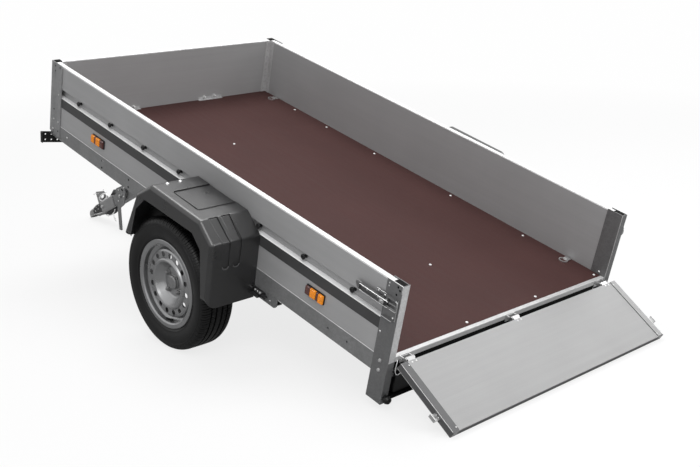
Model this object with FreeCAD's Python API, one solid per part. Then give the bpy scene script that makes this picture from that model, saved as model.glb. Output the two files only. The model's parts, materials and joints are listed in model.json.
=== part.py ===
import FreeCAD, Part
import math
import os
from FreeCAD import Vector

# Tipping utility trailer, stood on its wheels and on the nose of its folded drawbar,
# with the tailgate laid open as a ramp. Lengths in mm, angles in degrees.
# Bed frame: +X right, +Y forward from the rear posts, +Z up from the floor's top face.

# Load bed
bed_width = 1300.0
bed_length = 2341.0
board_thickness = 25.0
board_height = 287.0
rail_radius = 3.0
groove_bottom = 125.0
groove_top = 175.0
groove_depth = 18.0
ledge_rise = 8.0
stripe_height = 36.0
stripe_recess = 1.0
board_wall = 2.0
floor_thickness = 12.0
rivet_hole_radius = 3.2

# Chassis
sheet = 2.0
beam_height = 70.0
beam_flange = 38.0
beam_lip = 12.0
beam_lap = 3.0
member_height = 50.0
member_width = 36.0
member_shares = (0.1837, 0.3733, 0.5976, 0.7518, 0.8642)
sill_ledge = 18.0
sill_height = 60.0
beam_hole_radius = 4.0
beam_hole_spread = 17.0
beam_rear_holes = (210.0, 313.0)
beam_front_holes = (468.0, 685.0)
board_foot_start = 178.0
board_foot_end = 327.0
board_foot_reach = 14.0

# Corner posts
post_gauge = 3.0
rear_post_width = 74.0
post_top = 3.0
post_socket = 45.0
front_post_width = 36.0
front_post_drop = 57.0
corner_strip_width = 30.0
corner_strip_holes = 8
corner_hole_radius = 4.0
cap_height = 4.0
buffer_radius = 16.0
foot_clearance = 22.0
post_hole_radius = 3.0
post_holes = ((21.0, 8.0), (11.0, 17.0), (23.0, 38.0))

# Tail lamps and the bar that carries them
lamp_bar_height = 100.0
lamp_bar_depth = 36.0
lamp_length = 200.0
lamp_height = 82.0
lamp_depth = 30.0
lamp_inset = 40.0
plate_length = 524.0
plate_height = 90.0
plate_thickness = 4.0

# Side fittings
hook_count = 8
hook_inset = 232.8
hook_height = 157.0
hook_stem_radius = 5.0
hook_head_radius = 9.0
hook_head_thickness = 6.0
marker_length = 102.0
marker_height = 42.0
marker_depth = 14.0
marker_level = 50.0
marker_rear = 403.0
marker_front = 426.0
ring_inset = 45.0
ring_rear = 189.0
ring_front = 142.0
ring_radius = 18.0
ring_wire = 3.0
bracket_level = -58.0
bracket_reach = 50.0
bracket_length = 118.0
bracket_height = 57.0
bracket_fall = 18.0
bracket_gauge = 3.0
bracket_tab = 14.0
bracket_hole_pitch = 32.0
bracket_hole_drop = 28.0

# Wheels
tyre_radius = 273.5
tyre_width = 155.0
tyre_wall = 9.0
tread_depth = 15.0
rim_radius = 165.0
rim_flange = 17.6
rim_width = 127.0
rim_wall = 5.0
well_depth = 22.0
disc_gauge = 4.0
disc_inset = 44.0
nave_bore = 30.0
nave_radius = 60.0
crest_radius = 97.0
crest_rise = 34.5
vent_ring_rise = 26.5
wheel_plane = 785.0
hub_position = 1043.7
hub_level = -186.8
spindle_radius = 17.0
spindle_clearance = 0.1
stud_circle = 49.0
stud_count = 4
stud_pad_radius = 10.5
stud_pad_rise = 2.0
nut_radius = 10.0
nut_height = 10.0
cap_reach = 14.0
vent_count = 16
vent_radius = 11.0
vent_circle = 120.0

# Axle
axle_size = 50.0
axle_ahead = 150.0
arm_thickness = 18.0
rail_gauge = 4.0
rail_back = 594.0
rail_ahead = 226.0
rail_corner = 20.0

# Mudguards. The side outlines are (ahead, up) of the hub in tyre radii, front to rear.
guard_width = 228.0
guard_wall = 3.0
guard_edge = 18.0
guard_gap = 0.3
guard_side = ((1.036, 0.317), (0.776, 1.147), (0.444, 1.414), (-0.763, 1.403), (-1.092, 1.169), (-1.121, 0.182))
guard_arch = ((0.882, 0.171), (0.754, 0.910), (0.553, 1.147), (-0.635, 1.169), (-0.855, 1.001), (-0.993, 0.171))
guard_turn = 20.0
guard_let_down = 0.2
guard_lip = 5.0
guard_corner = 50.0
crown_panel_depth = 3.0
crown_panel_reach = 176.0
crown_panel_back = -0.489
crown_panel_front = 0.147
channel_depth = 4.0
channel_spans = ((136.0, 170.0, 142.0, 184.0), (86.0, 120.0, 85.0, 128.0))
channel_start = -0.75
channel_foot = 0.763

# Drawbar and its hinge under the bed's front
pivot_setback = 351.0
pivot_radius = 8.0
pivot_clearance = 0.1
bar_size = 60.0
bar_wall = 3.0
bar_under_clearance = 28.0
bar_length = 1155.0
spine_gap = 40.0
hinge_plate_gauge = 5.0
hinge_plate_gap = 0.5
hinge_plate_back = 245.0
hinge_plate_front = 70.0
hinge_plate_lobe = 42.0
socket_reach = 95.0
socket_radius = 25.5
socket_depth = 22.0
nose_radius = 34.0
nose_drop = 14.0
nose_rise = 30.0
sleeve_length = 200.0
sleeve_wall = 4.0
sleeve_gap = 0.3
sleeve_corner = 9.0

# Coupling lever, set back from the tube's end
lever_back = 215.0
lever_knee = 150.0
lever_front = 8.0
lever_tail_rise = 24.0
lever_half_width = 19.0
lever_gauge = 3.0
lever_plate_length = 130.0
lever_plate_top = 94.0
lever_plate_rise = 72.0
lever_plate_lean = 22.0
lever_eye_back = 78.0
lever_eye_length = 46.0
lever_eye_height = 24.0
lever_eye_rim = 4.0

# Support leg
leg_setback = 316.0
leg_width = 26.0
leg_offset = 25.0
leg_plate_back = 52.0
leg_plate_rise = 71.0
leg_plate_drop = 60.0
leg_bracket_length = 84.0
plug_setback = 430.0
plug_plate_width = 46.0
plug_plate_rise = 62.0
plug_hole_radius = 14.0
leg_gauge = 6.0
leg_pin_radius = 6.0
leg_pin_clearance = 0.1
leg_bracket_gap = 10.0
leg_ground_clearance = 4.0

# Tailgate
gate_length = 1270.0
gate_height = 300.0
gate_open = 111.6
gate_axis_back = 22.0
gate_axis_level = -4.0
gate_gap = 13.0
gate_cap = 4.0
hinge_pin_radius = 4.0
hinge_pin_clearance = 0.1
hinge_eye_radius = 8.0
hinge_eye_width = 34.0
hinge_cheek = 4.0
hinge_inset = 60.0
striker_level = 205.0
striker_height = 28.0
striker_reach = 30.0
striker_gauge = 4.0

# Tail latches on the rear posts
latch_level = 205.5
latch_base_foot = 152.0
latch_base_top = 233.0
latch_base_start = 6.0
latch_base_end = 66.0
latch_gauge = 2.5
latch_flange = 14.0
latch_lever_start = 38.0
latch_lever_end = 206.0
latch_lever_height = 23.0
latch_lever_stand = 4.0
latch_lever_depth = 13.0
latch_arm_end = 111.0
latch_arm_height = 12.0
latch_bail_radius = 2.5
latch_bail_spread = 8.0

outer_face = bed_width / 2
inner_face = outer_face - board_thickness
beam_face = outer_face + sheet
post_face = beam_face + post_gauge
post_inner = inner_face - post_gauge
board_foot = -floor_thickness
beam_top = board_foot + beam_lap
beam_foot = beam_top - beam_height
front_inner = bed_length - board_thickness
front_face = bed_length + sheet
member_foot = board_foot - member_height
rail_foot = member_foot - bar_size
pivot_level = member_foot - bar_under_clearance - bar_size / 2
bar_half = bar_size / 2
pivot_position = bed_length - pivot_setback
member_positions = [share * bed_length for share in member_shares]
hook_pitch = (bed_length - 2 * hook_inset) / (hook_count - 1)
hook_positions = [hook_inset + i * hook_pitch for i in range(hook_count)]
marker_positions = (marker_rear, bed_length - marker_front)
ring_positions = (ring_rear, bed_length - ring_front)
socket_position = bar_length + socket_reach
leg_position = bar_length - leg_setback
axle_position = hub_position + axle_ahead
rail_start = axle_position - rail_back
rail_end = axle_position + rail_ahead
spine_start = member_positions[1] - member_width / 2
sleeve_half = bar_half + sleeve_gap + sleeve_wall
arm_inner = post_face + 20
stud_face = wheel_plane + rim_width / 2 + 6 - disc_inset


def box(x0, x1, y0, y1, z0, z1):
    return Part.makeBox(x1 - x0, y1 - y0, z1 - z0, Vector(x0, y0, z0))


def rod_x(x0, x1, y, z, radius):
    return Part.makeCylinder(radius, x1 - x0, Vector(x0, y, z), Vector(1, 0, 0))


def rod_y(y0, y1, x, z, radius):
    return Part.makeCylinder(radius, y1 - y0, Vector(x, y0, z), Vector(0, 1, 0))


def rod_z(z0, z1, x, y, radius):
    return Part.makeCylinder(radius, z1 - z0, Vector(x, y, z0), Vector(0, 0, 1))


def rounded_wire(corners, point):
    """Closed outline of (u, v, radius) corners; point maps u, v into space."""
    edges = []
    ends = []
    count = len(corners)
    for i in range(count):
        u, v, radius = corners[i]
        before = corners[i - 1]
        after = corners[(i + 1) % count]
        into = (before[0] - u, before[1] - v)
        out = (after[0] - u, after[1] - v)
        into_length = math.hypot(*into)
        out_length = math.hypot(*out)
        a = (into[0] / into_length, into[1] / into_length)
        b = (out[0] / out_length, out[1] / out_length)
        half = math.acos(max(-1.0, min(1.0, a[0] * b[0] + a[1] * b[1]))) / 2
        if radius <= 0 or half > math.pi / 2 - 1e-4:
            ends.append((point(u, v), point(u, v)))
            continue
        cut = min(radius / math.tan(half), 0.49 * into_length, 0.49 * out_length)
        fitted = cut * math.tan(half)
        bisector = (a[0] + b[0], a[1] + b[1])
        reach = math.hypot(*bisector)
        middle = (fitted / math.sin(half) - fitted) / reach
        start = point(u + a[0] * cut, v + a[1] * cut)
        centre = point(u + bisector[0] * middle, v + bisector[1] * middle)
        end = point(u + b[0] * cut, v + b[1] * cut)
        edges.append((i, Part.Arc(start, centre, end).toShape()))
        ends.append((start, end))
    arcs = dict(edges)
    path = []
    for i in range(count):
        if i in arcs:
            path.append(arcs[i])
        start = ends[i][1]
        end = ends[(i + 1) % count][0]
        if start.distanceToPoint(end) > 1e-6:
            path.append(Part.LineSegment(start, end).toShape())
    return Part.Wire(path)


def with_radius(corners, radius=0.0):
    return [c if len(c) == 3 else (c[0], c[1], radius) for c in corners]


def prism_x(corners, x0, x1, radius=0.0):
    wire = rounded_wire(with_radius(corners, radius), lambda y, z: Vector(x0, y, z))
    return Part.Face(wire).extrude(Vector(x1 - x0, 0, 0))


def prism_y(corners, y0, y1, radius=0.0):
    wire = rounded_wire(with_radius(corners, radius), lambda x, z: Vector(x, y0, z))
    return Part.Face(wire).extrude(Vector(0, y1 - y0, 0))


def prism_z(corners, z0, z1, radius=0.0):
    wire = rounded_wire(with_radius(corners, radius), lambda x, y: Vector(x, y, z0))
    return Part.Face(wire).extrude(Vector(0, 0, z1 - z0))


def moved(shape, dx=0.0, dy=0.0, dz=0.0):
    copy = shape.copy()
    copy.translate(Vector(dx, dy, dz))
    return copy


def turned(shape, axis, degrees, centre=Vector(0, 0, 0)):
    copy = shape.copy()
    copy.rotate(centre, axis, degrees)
    return copy


def mirrored(shape):
    return shape.mirror(Vector(0, 0, 0), Vector(1, 0, 0))


def pair(shape):
    return Part.makeCompound([shape, mirrored(shape)])


def fused(shapes):
    result = shapes[0]
    if len(shapes) > 1:
        result = shapes[0].fuse(shapes[1:])
    return result.removeSplitter()


def tilt_point(y, z, degrees):
    """A side-view point turned about the X axis."""
    c = math.cos(math.radians(degrees))
    s = math.sin(math.radians(degrees))
    return y * c - z * s, y * s + z * c


def slope_to_reach(height, along, below):
    """Downward slope that brings a point ahead of and below a pivot down by height."""
    reach = math.hypot(along, below)
    return math.degrees(math.asin(height / reach) - math.atan2(below, along))


# Rest position. The open tailgate's lower edge and the tyres stand on the floor, and
# the drawbar folds down until its nose stands on it too.

gate_outer_y = -board_thickness / 2
gate_far = gate_gap + gate_height
gate_edge = tilt_point(gate_outer_y, gate_far, gate_open)
gate_edge_y = gate_edge[0] - gate_axis_back
gate_edge_z = gate_edge[1] + gate_axis_level
edge_to_hub = (hub_position - gate_edge_y, hub_level - gate_edge_z)
bed_tilt = math.degrees(
    math.asin(tyre_radius / math.hypot(*edge_to_hub)) - math.atan2(edge_to_hub[1], edge_to_hub[0])
)
floor_drop = tyre_radius - tilt_point(hub_position, hub_level, bed_tilt)[1]
post_foot = -(floor_drop - foot_clearance) / math.cos(math.radians(bed_tilt))
buffer_level = post_foot + 1.5 * buffer_radius
pivot_height = tilt_point(pivot_position, pivot_level, bed_tilt)[1] + floor_drop
bar_slope = slope_to_reach(pivot_height, socket_position + nose_radius, nose_drop)
leg_height = pivot_height - leg_position * math.sin(math.radians(bar_slope))
leg_length = leg_height - leg_ground_clearance


# Boards

def board_outline():
    """Board section: distance out from the inner face, height above the floor."""
    deep = board_thickness - groove_depth
    stripe_foot = groove_bottom - 1 - stripe_height
    shallow = board_thickness - stripe_recess
    return [
        (0, board_foot, 0),
        (0, board_height, rail_radius),
        (board_thickness, board_height, rail_radius),
        (board_thickness, groove_top, 2),
        (deep, groove_top, 2),
        (deep, groove_bottom + ledge_rise, 2),
        (board_thickness, groove_bottom, 1),
        (board_thickness, groove_bottom - 1, 0),
        (shallow, groove_bottom - 1 - stripe_recess, 0),
        (shallow, stripe_foot + stripe_recess, 0),
        (board_thickness, stripe_foot, 0),
        (board_thickness, board_foot, 0),
    ]


def board_chambers():
    """Hollow chambers of the extruded board, above and below its groove."""
    skin = board_thickness - board_wall
    upper = [(board_wall, groove_top + board_wall), (board_wall, board_height - board_wall),
             (skin, board_height - board_wall), (skin, groove_top + board_wall)]
    lower = [(board_wall, board_foot + board_wall), (board_wall, groove_bottom - board_wall),
             (skin - stripe_recess, groove_bottom - 2 * board_wall),
             (skin - stripe_recess, board_foot + board_wall)]
    return [with_radius(upper, 1), with_radius(lower, 1)]


def side_board():
    def place(corners):
        return [(inner_face + out, up, r) for out, up, r in corners]
    start = post_gauge + post_socket
    chambers = [prism_y(place(c), start - 1, front_inner + 1) for c in board_chambers()]
    return prism_y(place(board_outline()), start, front_inner).cut(chambers)


def front_board():
    def place(corners):
        return [(front_inner + out, up, r) for out, up, r in corners]
    chambers = [prism_x(place(c), -outer_face - 1, outer_face + 1) for c in board_chambers()]
    return prism_x(place(board_outline()), -outer_face, outer_face).cut(chambers)


def floor_panel():
    start = post_gauge + sill_ledge
    panel = box(-inner_face, inner_face, start, front_inner, -floor_thickness, 0)
    notch = box(post_inner, inner_face + 1, 0, rear_post_width, -floor_thickness - 1, 1)
    return panel.cut([notch, mirrored(notch)])


# Chassis

def lipped_channel(face, height_foot, height_top, flange_top):
    """Channel section open inwards: outer web with a lap above its top flange."""
    web = face - sheet
    edge = web - beam_flange
    return [
        (face, height_foot, 2),
        (face, height_top, 0),
        (web, height_top, 0),
        (web, flange_top, 0),
        (edge, flange_top, 2),
        (edge, flange_top - beam_lip, 0),
        (edge + sheet, flange_top - beam_lip, 0),
        (edge + sheet, flange_top - sheet, 0),
        (web, flange_top - sheet, 0),
        (web, height_foot + sheet, 0),
        (edge + sheet, height_foot + sheet, 0),
        (edge + sheet, height_foot + beam_lip, 0),
        (edge, height_foot + beam_lip, 0),
        (edge, height_foot, 2),
    ]


def side_beam():
    profile = lipped_channel(beam_face, beam_foot, beam_top, board_foot)
    beam = prism_y(profile, post_gauge, bed_length)
    middle = (beam_foot + beam_top) / 2
    places = [(y, middle) for y in beam_rear_holes]
    for back in beam_front_holes:
        places += [(bed_length - back, middle - beam_hole_spread),
                   (bed_length - back, middle + beam_hole_spread)]
    holes = [rod_x(beam_face - 2 * sheet, beam_face + 1, y, z, beam_hole_radius) for y, z in places]
    return beam.cut(holes)


def front_beam():
    profile = lipped_channel(front_face, member_foot, beam_top, board_foot)
    edge = beam_face - sheet - beam_flange
    return prism_x(profile, -edge, edge)


def cross_members():
    """Open-sided channels between the side beams, under the floor."""
    edge = beam_face - sheet - beam_flange
    members = []
    for y in member_positions:
        half = member_width / 2
        profile = [
            (y - half, member_foot), (y - half, board_foot), (y + half, board_foot),
            (y + half, board_foot - beam_lip), (y + half - sheet, board_foot - beam_lip),
            (y + half - sheet, board_foot - sheet), (y - half + sheet, board_foot - sheet),
            (y - half + sheet, member_foot + sheet), (y + half - sheet, member_foot + sheet),
            (y + half - sheet, member_foot + beam_lip), (y + half, member_foot + beam_lip),
            (y + half, member_foot),
        ]
        members.append(prism_x(profile, -edge, edge))
    return Part.makeCompound(members)


def rear_sill():
    """Folded sill: a ledge level with the floor, a lap under it and a web."""
    edge = beam_face - sheet - beam_flange
    back = post_gauge
    ledge = back + sill_ledge
    lap = ledge + 22
    foot = -sill_height
    profile = [
        (back, foot), (back, 0, 2), (ledge, 0), (ledge, board_foot), (lap, board_foot),
        (lap, board_foot - sheet), (ledge - sheet, board_foot - sheet), (ledge - sheet, -sheet),
        (back + sheet, -sheet), (back + sheet, foot + sheet), (lap, foot + sheet), (lap, foot),
    ]
    return prism_x(profile, -edge, edge)


# Corner posts

def rear_post():
    """Channel folded round the board's end, its outer and rear legs run down as a foot."""
    top = board_height + post_top
    outer = box(beam_face, post_face, 0, rear_post_width, post_foot, top)
    rear = box(post_inner, post_face, 0, post_gauge, post_foot, top)
    inner = box(post_inner, inner_face, 0, rear_post_width, board_foot, top)
    holes = [rod_x(beam_face - 1, post_face + 1, y, board_height - below, post_hole_radius)
             for y, below in post_holes]
    return fused([outer, rear, inner]).cut(holes)


def front_post():
    """Angle round the front corner."""
    top = board_height + post_top
    rear = front_face + post_gauge - front_post_width
    side = box(beam_face, post_face, rear, front_face + post_gauge, -front_post_drop, top)
    front = box(post_face - front_post_width, post_face, front_face, front_face + post_gauge,
                -front_post_drop, top)
    return fused([side, front])


def corner_strip():
    """Perforated angle inside the corner."""
    x0 = inner_face - corner_strip_width
    y0 = front_inner - corner_strip_width
    side = box(inner_face - sheet, inner_face, y0, front_inner, 0, board_height)
    front = box(x0, inner_face, front_inner - sheet, front_inner, 0, board_height)
    strip = fused([side, front])
    pitch = board_height / corner_strip_holes
    holes = []
    for i in range(corner_strip_holes):
        z = pitch * (i + 0.5)
        y = front_inner - corner_strip_width / 2
        x = inner_face - corner_strip_width / 2
        holes.append(rod_x(inner_face - 2 * sheet, inner_face + 1, y, z, corner_hole_radius))
        holes.append(rod_y(front_inner - 2 * sheet, front_inner + 1, x, z, corner_hole_radius))
    return strip.cut(holes)


def board_foot_angle():
    """Short angle that holds the front board's foot down on the floor."""
    upright = box(board_foot_start, board_foot_end, front_inner - sheet, front_inner,
                  0, board_foot_reach)
    base = box(board_foot_start, board_foot_end, front_inner - board_foot_reach, front_inner,
               0, sheet)
    return fused([upright, base])


def corner_angles():
    strip = corner_strip()
    foot = board_foot_angle()
    return Part.makeCompound([strip, mirrored(strip), foot, mirrored(foot)])


def post_caps():
    """Plugs in the rear posts' open tops and covers on the front corners."""
    top = board_height + post_top
    plug = prism_z([(inner_face, post_gauge), (beam_face, post_gauge),
                    (beam_face, post_gauge + post_socket), (inner_face, post_gauge + post_socket)],
                   top - 20, top, 1.5)
    cover = prism_z([(inner_face - 6, front_inner), (outer_face, front_inner),
                     (outer_face, bed_length), (inner_face - 6, bed_length)],
                    board_height, board_height + cap_height, 3)
    return Part.makeCompound([plug, mirrored(plug), cover, mirrored(cover)])


def post_buffers():
    """Rubber balls on the rear faces of the posts' feet."""
    x = (post_inner + post_face) / 2
    r = buffer_radius
    outline = [(0, 0), (0.6 * r, 0), (0.95 * r, -0.5 * r), (r, -r), (0.75 * r, -1.55 * r), (0, -1.9 * r)]
    profile = Part.Face(rounded_wire(with_radius(outline), lambda u, v: Vector(u, v, 0)))
    ball = profile.revolve(Vector(0, 0, 0), Vector(0, 1, 0), 360)
    return pair(moved(ball, x, 0, buffer_level))


# Tail lamps

def lamp_bar():
    """Channel open to the rear between the rear posts' feet."""
    foot = post_foot + 4
    top = foot + lamp_bar_height
    back = post_gauge
    web = back + lamp_bar_depth
    profile = [
        (back, foot), (web, foot, 3), (web, top, 3), (back, top), (back, top - sheet),
        (web - sheet, top - sheet, 1), (web - sheet, foot + sheet, 1), (back, foot + sheet),
    ]
    tongue = box(post_inner, beam_face, back, web, top - sheet, top)
    bar = prism_x(profile, -post_inner, post_inner)
    return fused([bar, tongue, mirrored(tongue)])


def rear_lamps():
    middle = post_foot + 4 + lamp_bar_height / 2
    web = post_gauge + lamp_bar_depth - sheet
    outer = post_inner - lamp_inset
    lamp = prism_y([(outer - lamp_length, middle - lamp_height / 2), (outer, middle - lamp_height / 2),
                    (outer, middle + lamp_height / 2), (outer - lamp_length, middle + lamp_height / 2)],
                   web - lamp_depth, web, 10)
    return pair(lamp)


def plate_holder():
    middle = post_foot + 4 + lamp_bar_height / 2
    web = post_gauge + lamp_bar_depth - sheet
    half = plate_length / 2
    return prism_y([(-half, middle - plate_height / 2), (half, middle - plate_height / 2),
                    (half, middle + plate_height / 2), (-half, middle + plate_height / 2)],
                   web - plate_thickness, web, 6)


# Side fittings

def tarp_hooks():
    """Mushroom heads in the boards' grooves, along the sides and across the front."""
    seat = outer_face - groove_depth
    heads = []
    for y in hook_positions:
        stem = rod_x(seat, outer_face - 4, y, hook_height, hook_stem_radius)
        head = rod_x(outer_face - 4, outer_face - 4 + hook_head_thickness, y, hook_height,
                     hook_head_radius)
        hook = fused([stem, head])
        heads += [hook, mirrored(hook)]
    return Part.makeCompound(heads)


def side_markers():
    """Amber lamps on the boards' lower panels."""
    lamps = []
    for y in marker_positions:
        lamp = prism_x([(y - marker_length / 2, marker_level - marker_height / 2),
                        (y + marker_length / 2, marker_level - marker_height / 2),
                        (y + marker_length / 2, marker_level + marker_height / 2),
                        (y - marker_length / 2, marker_level + marker_height / 2)],
                       outer_face, outer_face + marker_depth, 4)
        lamps += [lamp, mirrored(lamp)]
    return Part.makeCompound(lamps)


def tie_rings():
    """Lashing rings lying on the floor by their base plates."""
    rings = []
    half = 0.85 * ring_wire
    wire = [(ring_radius - half, 0), (ring_radius + half, 0), (ring_radius + half, 2 * half),
            (ring_radius - half, 2 * half)]
    section = Part.Face(rounded_wire(with_radius(wire), lambda u, v: Vector(u, 0, v)))
    ring = section.revolve(Vector(0, 0, 0), Vector(0, 0, 1), 360)
    for y in ring_positions:
        x = inner_face - ring_inset
        base = box(x + ring_radius - 4, inner_face - 8, y - 14, y + 14, 0, 4)
        lug = prism_y([(x + ring_radius - 7, 0), (x + ring_radius + 7, 0),
                       (x + ring_radius + 4, 2.8 * ring_wire), (x + ring_radius - 4, 2.8 * ring_wire)],
                      y - 9, y + 9)
        part = fused([moved(ring, x, y), base, lug])
        rings += [part, mirrored(part)]
    return Part.makeCompound(rings)


def lamp_brackets():
    """Perforated arms that stand out past the front corners, their ends turned back."""
    y0 = bed_length
    y1 = bed_length + bracket_gauge
    outer = post_face + bracket_reach
    inner = outer - bracket_length
    top = bracket_level
    foot = top - bracket_height
    lean = bracket_gauge
    arm = prism_y([(inner - lean, foot - bracket_fall), (inner + lean, top - bracket_fall),
                   (outer, top), (outer - lean, foot)], y0, y1, bracket_gauge)
    tab = prism_y([(outer - 2 * lean, foot + 2), (outer - lean, foot + 2), (outer, top - 2),
                   (outer - lean, top - 2)], y0 - bracket_tab, y1)
    rise = bracket_fall / bracket_length
    holes = []
    for i in range(3):
        across = inner + bracket_tab * 2 + i * bracket_hole_pitch
        level = top - bracket_fall + (across - inner) * rise - bracket_hole_drop / 2
        holes += [rod_y(y0 - 1, y1 + 1, across, level - j * bracket_hole_drop, corner_hole_radius)
                  for j in range(2)]
    return pair(fused([arm, tab]).cut(holes))


# Axle

def axle_centre():
    return axle_position, rail_foot - axle_size / 2


def axle_rails():
    """Angle rails under the side beams, their rear lower corners rounded."""
    foot = rail_foot
    web = prism_x([(rail_start, foot, rail_corner), (rail_end, foot, rail_corner),
                   (rail_end, beam_foot, 0), (rail_start, beam_foot, 0)],
                  beam_face - rail_gauge, beam_face)
    seat = box(beam_face - 46, beam_face, rail_start + rail_corner, rail_end - rail_corner,
               foot, foot + rail_gauge)
    return pair(fused([web, seat]))


def axle_tube():
    y, z = axle_centre()
    half = axle_size / 2
    tube = prism_x([(y - half, z - half), (y + half, z - half), (y + half, z + half),
                    (y - half, z + half)], -arm_inner, arm_inner, 6)
    return tube


def swing_arm():
    """Trailing arm from the axle tube's end down to the wheel's spindle."""
    y, z = axle_centre()
    root = rod_x(arm_inner, arm_inner + arm_thickness, y, z, 38)
    tip = rod_x(arm_inner, arm_inner + arm_thickness, hub_position, hub_level, 28)
    along = Vector(0, hub_position - y, hub_level - z)
    length = along.Length
    web = box(arm_inner, arm_inner + arm_thickness, 0, length, -24, 24)
    web.rotate(Vector(0, 0, 0), Vector(1, 0, 0), math.degrees(math.atan2(along.z, along.y)))
    web.translate(Vector(0, y, z))
    spindle = rod_x(arm_inner + arm_thickness, stud_face + 8, hub_position, hub_level,
                    spindle_radius)
    return fused([root, tip, web, spindle])


# Mudguards

def let_down(knee, foot):
    """Foot point run on along its side to a level below the mudguard."""
    fall = (knee[1] + guard_let_down) / (knee[1] - foot[1])
    return knee[0] + (foot[0] - knee[0]) * fall, -guard_let_down


def guard_face(outline, x, inset=0.0):
    """Side outline of tyre-radius points round the hub, its two feet let down, at a given x."""
    points = [let_down(outline[1], outline[0])] + list(outline[1:-1])
    points.append(let_down(outline[-2], outline[-1]))
    corners = []
    for i, (ahead, up) in enumerate(points):
        turn = guard_turn if 0 < i < len(points) - 1 else 0
        corners.append((hub_position + ahead * tyre_radius, hub_level + up * tyre_radius, turn))
    face = Part.Face(rounded_wire(corners, lambda y, z: Vector(x, y, z)))
    if inset:
        face = face.makeOffset2D(-inset)
    return face


def guard_block(inset, x0, x1, edge=0.0):
    """Solid within the mudguard's side outline, with its outer edge rounded."""
    block = guard_face(guard_side, x0, inset).extrude(Vector(x1 - x0, 0, 0))
    if edge:
        low = hub_level
        rim_edges = [e for e in block.Edges
                     if abs(e.BoundBox.XMin - x1) < 0.01 and abs(e.BoundBox.XMax - x1) < 0.01
                     and e.BoundBox.ZMax > low]
        block = block.makeFillet(edge, rim_edges)
    return block


def guard_feet(inner, outer):
    """Room above the feet: the outer corners are rounded, the rear foot is the lower one."""
    top = hub_level + 2 * tyre_radius
    rooms = []
    for y0, y1, up in ((hub_position - 2 * tyre_radius, hub_position, guard_side[-1][1]),
                       (hub_position, hub_position + 2 * tyre_radius, guard_side[0][1])):
        foot = hub_level + up * tyre_radius
        rooms.append(prism_y([(inner - 1, foot, 0), (outer, foot, guard_corner), (outer, top, 0),
                              (inner - 1, top, 0)], y0, y1))
    return fused(rooms)


def guard_recesses(inner, grown=0.0):
    """Cutters of the crown's sunk panel and the two channels down the rear, each with its depth."""
    panel = prism_z([(inner - 1, hub_position + crown_panel_back * tyre_radius - grown, 0),
                     (inner + crown_panel_reach + grown,
                      hub_position + crown_panel_back * tyre_radius - grown, 12),
                     (inner + crown_panel_reach + grown,
                      hub_position + crown_panel_front * tyre_radius + grown, 12),
                     (inner - 1, hub_position + crown_panel_front * tyre_radius + grown, 0)],
                    hub_level + tyre_radius, hub_level + 2 * tyre_radius)
    cutters = [(panel, crown_panel_depth)]
    start = hub_position + channel_start * tyre_radius + grown
    foot = hub_level + channel_foot * tyre_radius - grown
    top = hub_level + 1.5 * tyre_radius
    for low_in, low_out, high_in, high_out in channel_spans:
        channel = prism_y([(inner + low_in - grown, foot, 8), (inner + low_out + grown, foot, 8),
                           (inner + high_out + grown, top, 0), (inner + high_in - grown, top, 0)],
                          hub_position - 2 * tyre_radius, start)
        cutters.append((channel, channel_depth))
    return cutters


def mudguard():
    """Moulded shell over the wheel, its wall even behind the sunk panel and channels."""
    inner = beam_face + guard_gap
    outer = inner + guard_width
    skin = guard_block(0, inner, outer, guard_edge)
    room = guard_block(guard_wall, inner - 1, outer - guard_wall, guard_edge - guard_wall)
    sunk = []
    backing = []
    for cutter, depth in guard_recesses(inner):
        below = guard_block(depth, inner - 2, outer + 1)
        sunk.append(cutter.cut(below))
    for cutter, depth in guard_recesses(inner, guard_wall):
        below = guard_block(depth + guard_wall, inner - 2, outer + 1)
        backing.append(cutter.cut(below))
    room = room.cut(backing)
    opening = guard_face(guard_arch, outer - guard_wall - guard_lip)
    arch = opening.extrude(Vector(guard_wall + guard_lip + 1, 0, 0))
    collar = opening.makeOffset2D(guard_wall).extrude(Vector(guard_wall + guard_lip - 0.5, 0, 0))
    shell = skin.cut(sunk + [room])
    return shell.fuse(collar.common(skin)).cut(arch).common(guard_feet(inner, outer))


# Wheels, about the hub's centre on the wheel's middle plane

def revolved(profile):
    """Ring about the wheel's axle from a closed outline of (x, radius) points."""
    wire = rounded_wire(with_radius(profile), lambda u, v: Vector(u, 0, v))
    return Part.Face(wire).revolve(Vector(0, 0, 0), Vector(1, 0, 0), 360)


def both_ways(points):
    """Half outline followed by its mirror image."""
    return points + [(-u, v) for u, v in reversed(points)]


def tyre():
    """Carcass open at the beads, with bulged sidewalls, shoulders and a flat crown."""
    half = tyre_width / 2
    bead = rim_width / 2 - 0.3
    seat = rim_radius + 0.3
    outside = both_ways([
        (bead, seat), (bead, rim_radius + rim_flange + 2), (half - 5, seat + 38),
        (half, seat + 63), (half - 3, tyre_radius - 21), (half - 12, tyre_radius - 7),
        (half - 29, tyre_radius)])
    inside = both_ways([
        (half - 28, tyre_radius - tread_depth), (half - tyre_wall - 4, tyre_radius - 34),
        (half - tyre_wall - 3, seat + 50), (bead - tyre_wall, seat)])
    return revolved(outside + [(-u, v) for u, v in reversed(inside)])


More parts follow.
